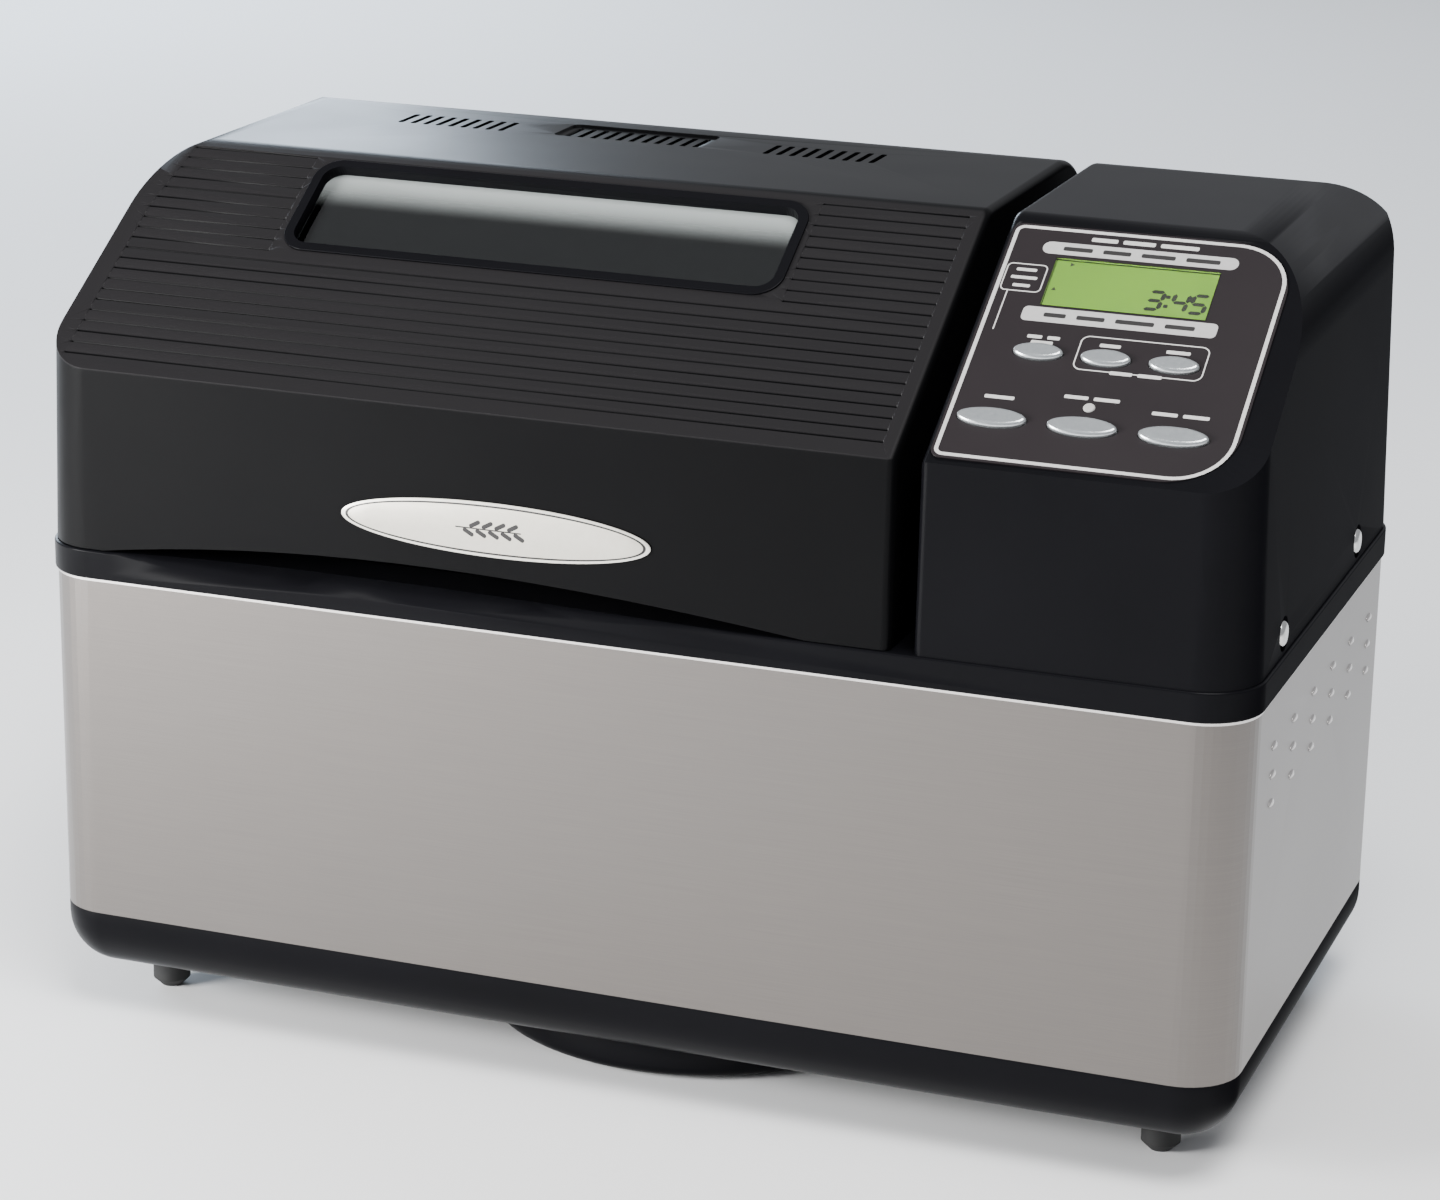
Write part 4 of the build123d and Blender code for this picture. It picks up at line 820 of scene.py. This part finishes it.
class MACHINE_OT_panel(bpy.types.Operator):
    """Silver line, grey label bars and plain dashes in place of words."""

    bl_idname = "machine.panel"
    bl_label = "Panel print"

    def execute(self, context):
        settings = context.scene.machine_panel
        ink = settings.ink_height
        low, high = slope_span("panel_overlay")
        centre = (low + high) / 2
        place_on = slope_matrix(centre.x, centre.y, high.z)
        width, height = (high - low).xy - Vector((2.0, 2.0)) * settings.border_inset
        border = bmesh.new()
        add_ring(border, width, height, BORDER_RADII, settings.border_width, 0.0, 0.0, ink)
        self.printed(border, place_on, "panel_border", "line")

        lens_low, lens_high = slope_span("lcd_lens")
        lcd = (lens_low + lens_high) / 2 - centre
        lcd_w, lcd_h = (lens_high - lens_low).xy
        bars = bmesh.new()
        to_bar = lcd_h / 2 + BAR_GAP + BAR_HEIGHT / 2
        upper, lower = lcd.y + to_bar, lcd.y - to_bar
        bar_w, bar_h = lcd_w + 11.0 * MM, BAR_HEIGHT - 1.0 * MM
        add_plate(bars, bar_w, bar_h, 2.6 * MM, lcd.x - 0.5 * MM, upper, ink)
        add_plate(bars, lcd_w + 10.0 * MM, BAR_HEIGHT, 1.8 * MM, lcd.x, lower, ink)
        self.printed(bars, place_on, "label_bars", "legend")

        # A box at the display's left with a line down from it, and a box round two keys.
        lines = bmesh.new()
        box_x = lcd.x - lcd_w / 2 - 8.6 * MM
        box_radii, pair_radii = (2.0 * MM, 2.0 * MM), (3.0 * MM, 3.0 * MM)
        box_y = lcd.y + 0.5 * MM
        add_ring(lines, 14.0 * MM, 13.0 * MM, box_radii, THIN_LINE, box_x, box_y, ink)
        at = {}
        for key in KEYS:
            key_low, key_high = slope_span(f"{key}_button")
            at[key] = (key_low + key_high) / 2 - centre
        pair = (at["time"] + at["cycle"]) / 2
        pair_y = pair.y + 2.0 * MM
        add_ring(lines, 43.0 * MM, 15.5 * MM, pair_radii, THIN_LINE, pair.x, pair_y, ink)
        down = at["crust"].y + 8.5 * MM
        up = lcd.y - 6.0 * MM
        line_x, line_y = box_x - 4.0 * MM, (up + down) / 2
        add_plate(lines, THIN_LINE, up - down, THIN_LINE * 0.3, line_x, line_y, ink)

        dashes = bmesh.new()
        for key, lengths, rise in KEY_WORDS:
            self.dash_row(dashes, lengths, at[key].x, at[key].y + rise * MM, DASH_HEIGHT, ink)
        # These two cross the box's line, so they stand a little higher.
        self.dash_row(dashes, PAIR_WORDS, pair.x, pair.y - 5.8 * MM, DASH_HEIGHT, 2 * ink)
        self.dash_row(dashes, TITLE_WORDS, lcd.x, upper + 5.4 * MM, 1.8 * MM, ink)
        for index, length in enumerate(SIDE_WORDS):
            y = lcd.y + (4.2 - index * 3.7) * MM
            add_plate(dashes, length * MM, DASH_HEIGHT * 0.9, DASH_HEIGHT * 0.3, box_x, y, ink)
        self.printed(lines, place_on, "panel_lines", "line")
        self.printed(dashes, place_on, "panel_dashes", "line")

        dark = bmesh.new()
        for row, lengths in ((upper, UPPER_BAR_WORDS), (lower, LOWER_BAR_WORDS)):
            self.dash_row(dark, lengths, lcd.x, row, 1.9 * MM, 0.04 * MM, 3.6)
        on_bars = slope_matrix(centre.x, centre.y, high.z + ink)
        self.printed(dark, on_bars, "bar_dashes", "dark_ink", "panel_film")
        return {"FINISHED"}

    @staticmethod
    def printed(marks, place_on, name, finish, slot="button_silver"):
        """Lays flat marks on the panel."""
        bmesh.ops.transform(marks, matrix=place_on, verts=marks.verts[:])
        finish_mesh(marks, name, MATERIALS[finish], "housing")

    @staticmethod
    def dash_row(target, lengths, x, y, height, depth, gap=1.8):
        """Dashes side by side, centred on x; lengths and gap in millimetres."""
        start = -(sum(lengths) + gap * (len(lengths) - 1)) / 2
        for length in lengths:
            middle = x + (start + length / 2) * MM
            add_plate(target, length * MM, height, height * 0.3, middle, y, depth)
            start += length + gap


class MACHINE_OT_buttons(bpy.types.Operator):
    """Six oval buttons with crowned tops."""

    bl_idname = "machine.buttons"
    bl_label = "Buttons"

    def execute(self, context):
        for key in KEYS:
            refine(f"{key}_button", MATERIALS["silver"], smooth=50.0)
        return {"FINISHED"}


# ---------------------------------------------------------------- stage
FLOOR_HALF_WIDTH = 6.0
# Place, aim, size, share of the power and colour. The key light brightens the floor that the
# steel mirrors, the rear one the top face, and the last one fills in from above.
SOFT_LIGHTS = {
    "key_softbox": ((-1.05, -1.0, 0.45), (-0.45, -0.4, 0.0), (0.6, 0.5), 0.9, (1.0, 1.0, 1.0)),
    "rear_softbox": ((-2.0, 1.75, 0.85), (0.0, 0.0, 0.3), (2.2, 0.8), 1.2, (0.74, 0.86, 1.0)),
    "top_softbox": ((0.55, -0.6, 2.0), (0.0, 0.0, 0.0), (1.0, 1.0), 0.95, (1.0, 1.0, 1.0)),
}
SKY_COLOUR = (0.93, 0.95, 1.0, 1.0)
CAMERA_AZIMUTH, CAMERA_ELEVATION, CAMERA_ROLL = (math.radians(a) for a in (20.14, 17.37, 0.93))
# The frame's origin seen from the camera, in metres: right, up and away.
CAMERA_OFFSET = (0.0006, -0.1415, 1.4987)


def area_light(name, place_at, aim, size, power, colour):
    """Rectangular soft light aimed at a point."""
    data = bpy.data.lights.new(name, "AREA")
    data.shape = "RECTANGLE"
    data.size, data.size_y = size
    data.energy = power
    data.color = colour
    light = bpy.data.objects.new(name, data)
    light.location = place_at
    light.rotation_mode = "QUATERNION"
    light.rotation_quaternion = (Vector(aim) - Vector(place_at)).to_track_quat("-Z", "Y")
    bpy.context.scene.collection.objects.link(light)


class MACHINE_OT_stage(bpy.types.Operator):
    """Pale floor, soft lights and the camera."""

    bl_idname = "machine.stage"
    bl_label = "Stage"

    def execute(self, context):
        settings = context.scene.machine_stage
        self.floor(settings)
        self.lights(settings)
        self.camera(settings)
        return {"FINISHED"}

    @staticmethod
    def floor(settings):
        bm = bmesh.new()
        bmesh.ops.create_grid(bm, x_segments=8, y_segments=8, size=FLOOR_HALF_WIDTH)
        mesh = bpy.data.meshes.new("studio_floor")
        bm.to_mesh(mesh)
        bm.free()
        floor = bpy.data.objects.new("studio_floor", mesh)
        bpy.context.scene.collection.objects.link(floor)
        material, tree, surface = shader("painted_floor", {"Roughness": 0.9, "IOR": 1.3})
        cloud = noise(tree, place(tree), 900.0, 1.0)
        light = (*settings.floor_colour, 1.0)
        dark = (*[c * 0.985 for c in settings.floor_colour], 1.0)
        tree.links.new(tint(tree, cloud, dark, light), surface.inputs["Base Color"])
        mesh.materials.append(material)

    @staticmethod
    def lights(settings):
        world = bpy.data.worlds.new("studio")
        bpy.context.scene.world = world
        world.use_nodes = True
        back = next(n for n in world.node_tree.nodes if n.type == "BACKGROUND")
        back.inputs["Color"].default_value = SKY_COLOUR
        back.inputs["Strength"].default_value = settings.sky
        for name, (place_at, aim, size, share, colour) in SOFT_LIGHTS.items():
            area_light(name, place_at, aim, size, settings.key_power * share, colour)

    @staticmethod
    def camera(settings):
        data = bpy.data.cameras.new("camera")
        data.sensor_width = 36.0
        data.lens = settings.lens
        data.dof.use_dof = False
        camera = bpy.data.objects.new("camera", data)
        bpy.context.scene.collection.objects.link(camera)
        level = math.cos(CAMERA_ELEVATION)
        back = Vector((
            math.sin(CAMERA_AZIMUTH) * level,
            -math.cos(CAMERA_AZIMUTH) * level,
            math.sin(CAMERA_ELEVATION),
        ))
        right = (-back).cross(Vector((0.0, 0.0, 1.0))).normalized()
        up = right.cross(-back)
        c, s = math.cos(CAMERA_ROLL), math.sin(CAMERA_ROLL)
        turn = Matrix((right * c + up * s, up * c - right * s, back)).transposed()
        across, above, away = CAMERA_OFFSET
        place_at = turn @ Vector((-across, -above, away))
        camera.matrix_world = Matrix.Translation(place_at) @ turn.to_4x4()
        data.clip_start, data.clip_end = 0.05, 50.0
        bpy.context.scene.camera = camera


# ---------------------------------------------------------------- sidebar and registration
OPERATORS = (
    MACHINE_OT_casing,
    MACHINE_OT_steel_details,
    MACHINE_OT_badge,
    MACHINE_OT_panel,
    MACHINE_OT_display,
    MACHINE_OT_buttons,
    MACHINE_OT_oven,
    MACHINE_OT_drive,
    MACHINE_OT_stage,
)


class MACHINE_PT_sidebar(bpy.types.Panel):
    """Lists every step and the settings."""

    bl_idname = "MACHINE_PT_sidebar"
    bl_label = "Bread Machine"
    bl_space_type = "VIEW_3D"
    bl_region_type = "UI"
    bl_category = "Bread Machine"

    def draw(self, context):
        for operator in OPERATORS:
            self.layout.operator(operator.bl_idname)
        scene = context.scene
        for group in (scene.machine_panel, scene.machine_steel, scene.machine_stage):
            column = self.layout.column(align=True)
            for key in type(group).__annotations__:
                column.prop(group, key)


CLASSES = (PanelSettings, SteelSettings, StageSettings, *OPERATORS, MACHINE_PT_sidebar)


def register():
    for item in CLASSES:
        bpy.utils.register_class(item)
    bpy.types.Scene.machine_panel = bpy.props.PointerProperty(type=PanelSettings)
    bpy.types.Scene.machine_steel = bpy.props.PointerProperty(type=SteelSettings)
    bpy.types.Scene.machine_stage = bpy.props.PointerProperty(type=StageSettings)


def unregister():
    del bpy.types.Scene.machine_stage
    del bpy.types.Scene.machine_steel
    del bpy.types.Scene.machine_panel
    for item in reversed(CLASSES):
        bpy.utils.unregister_class(item)


def main():
    register()
    MATERIALS.update(make_materials())
    for operator in OPERATORS:
        name = operator.bl_idname.split(".")[1]
        getattr(bpy.ops.machine, name)()


if __name__ == "__main__":
    main()
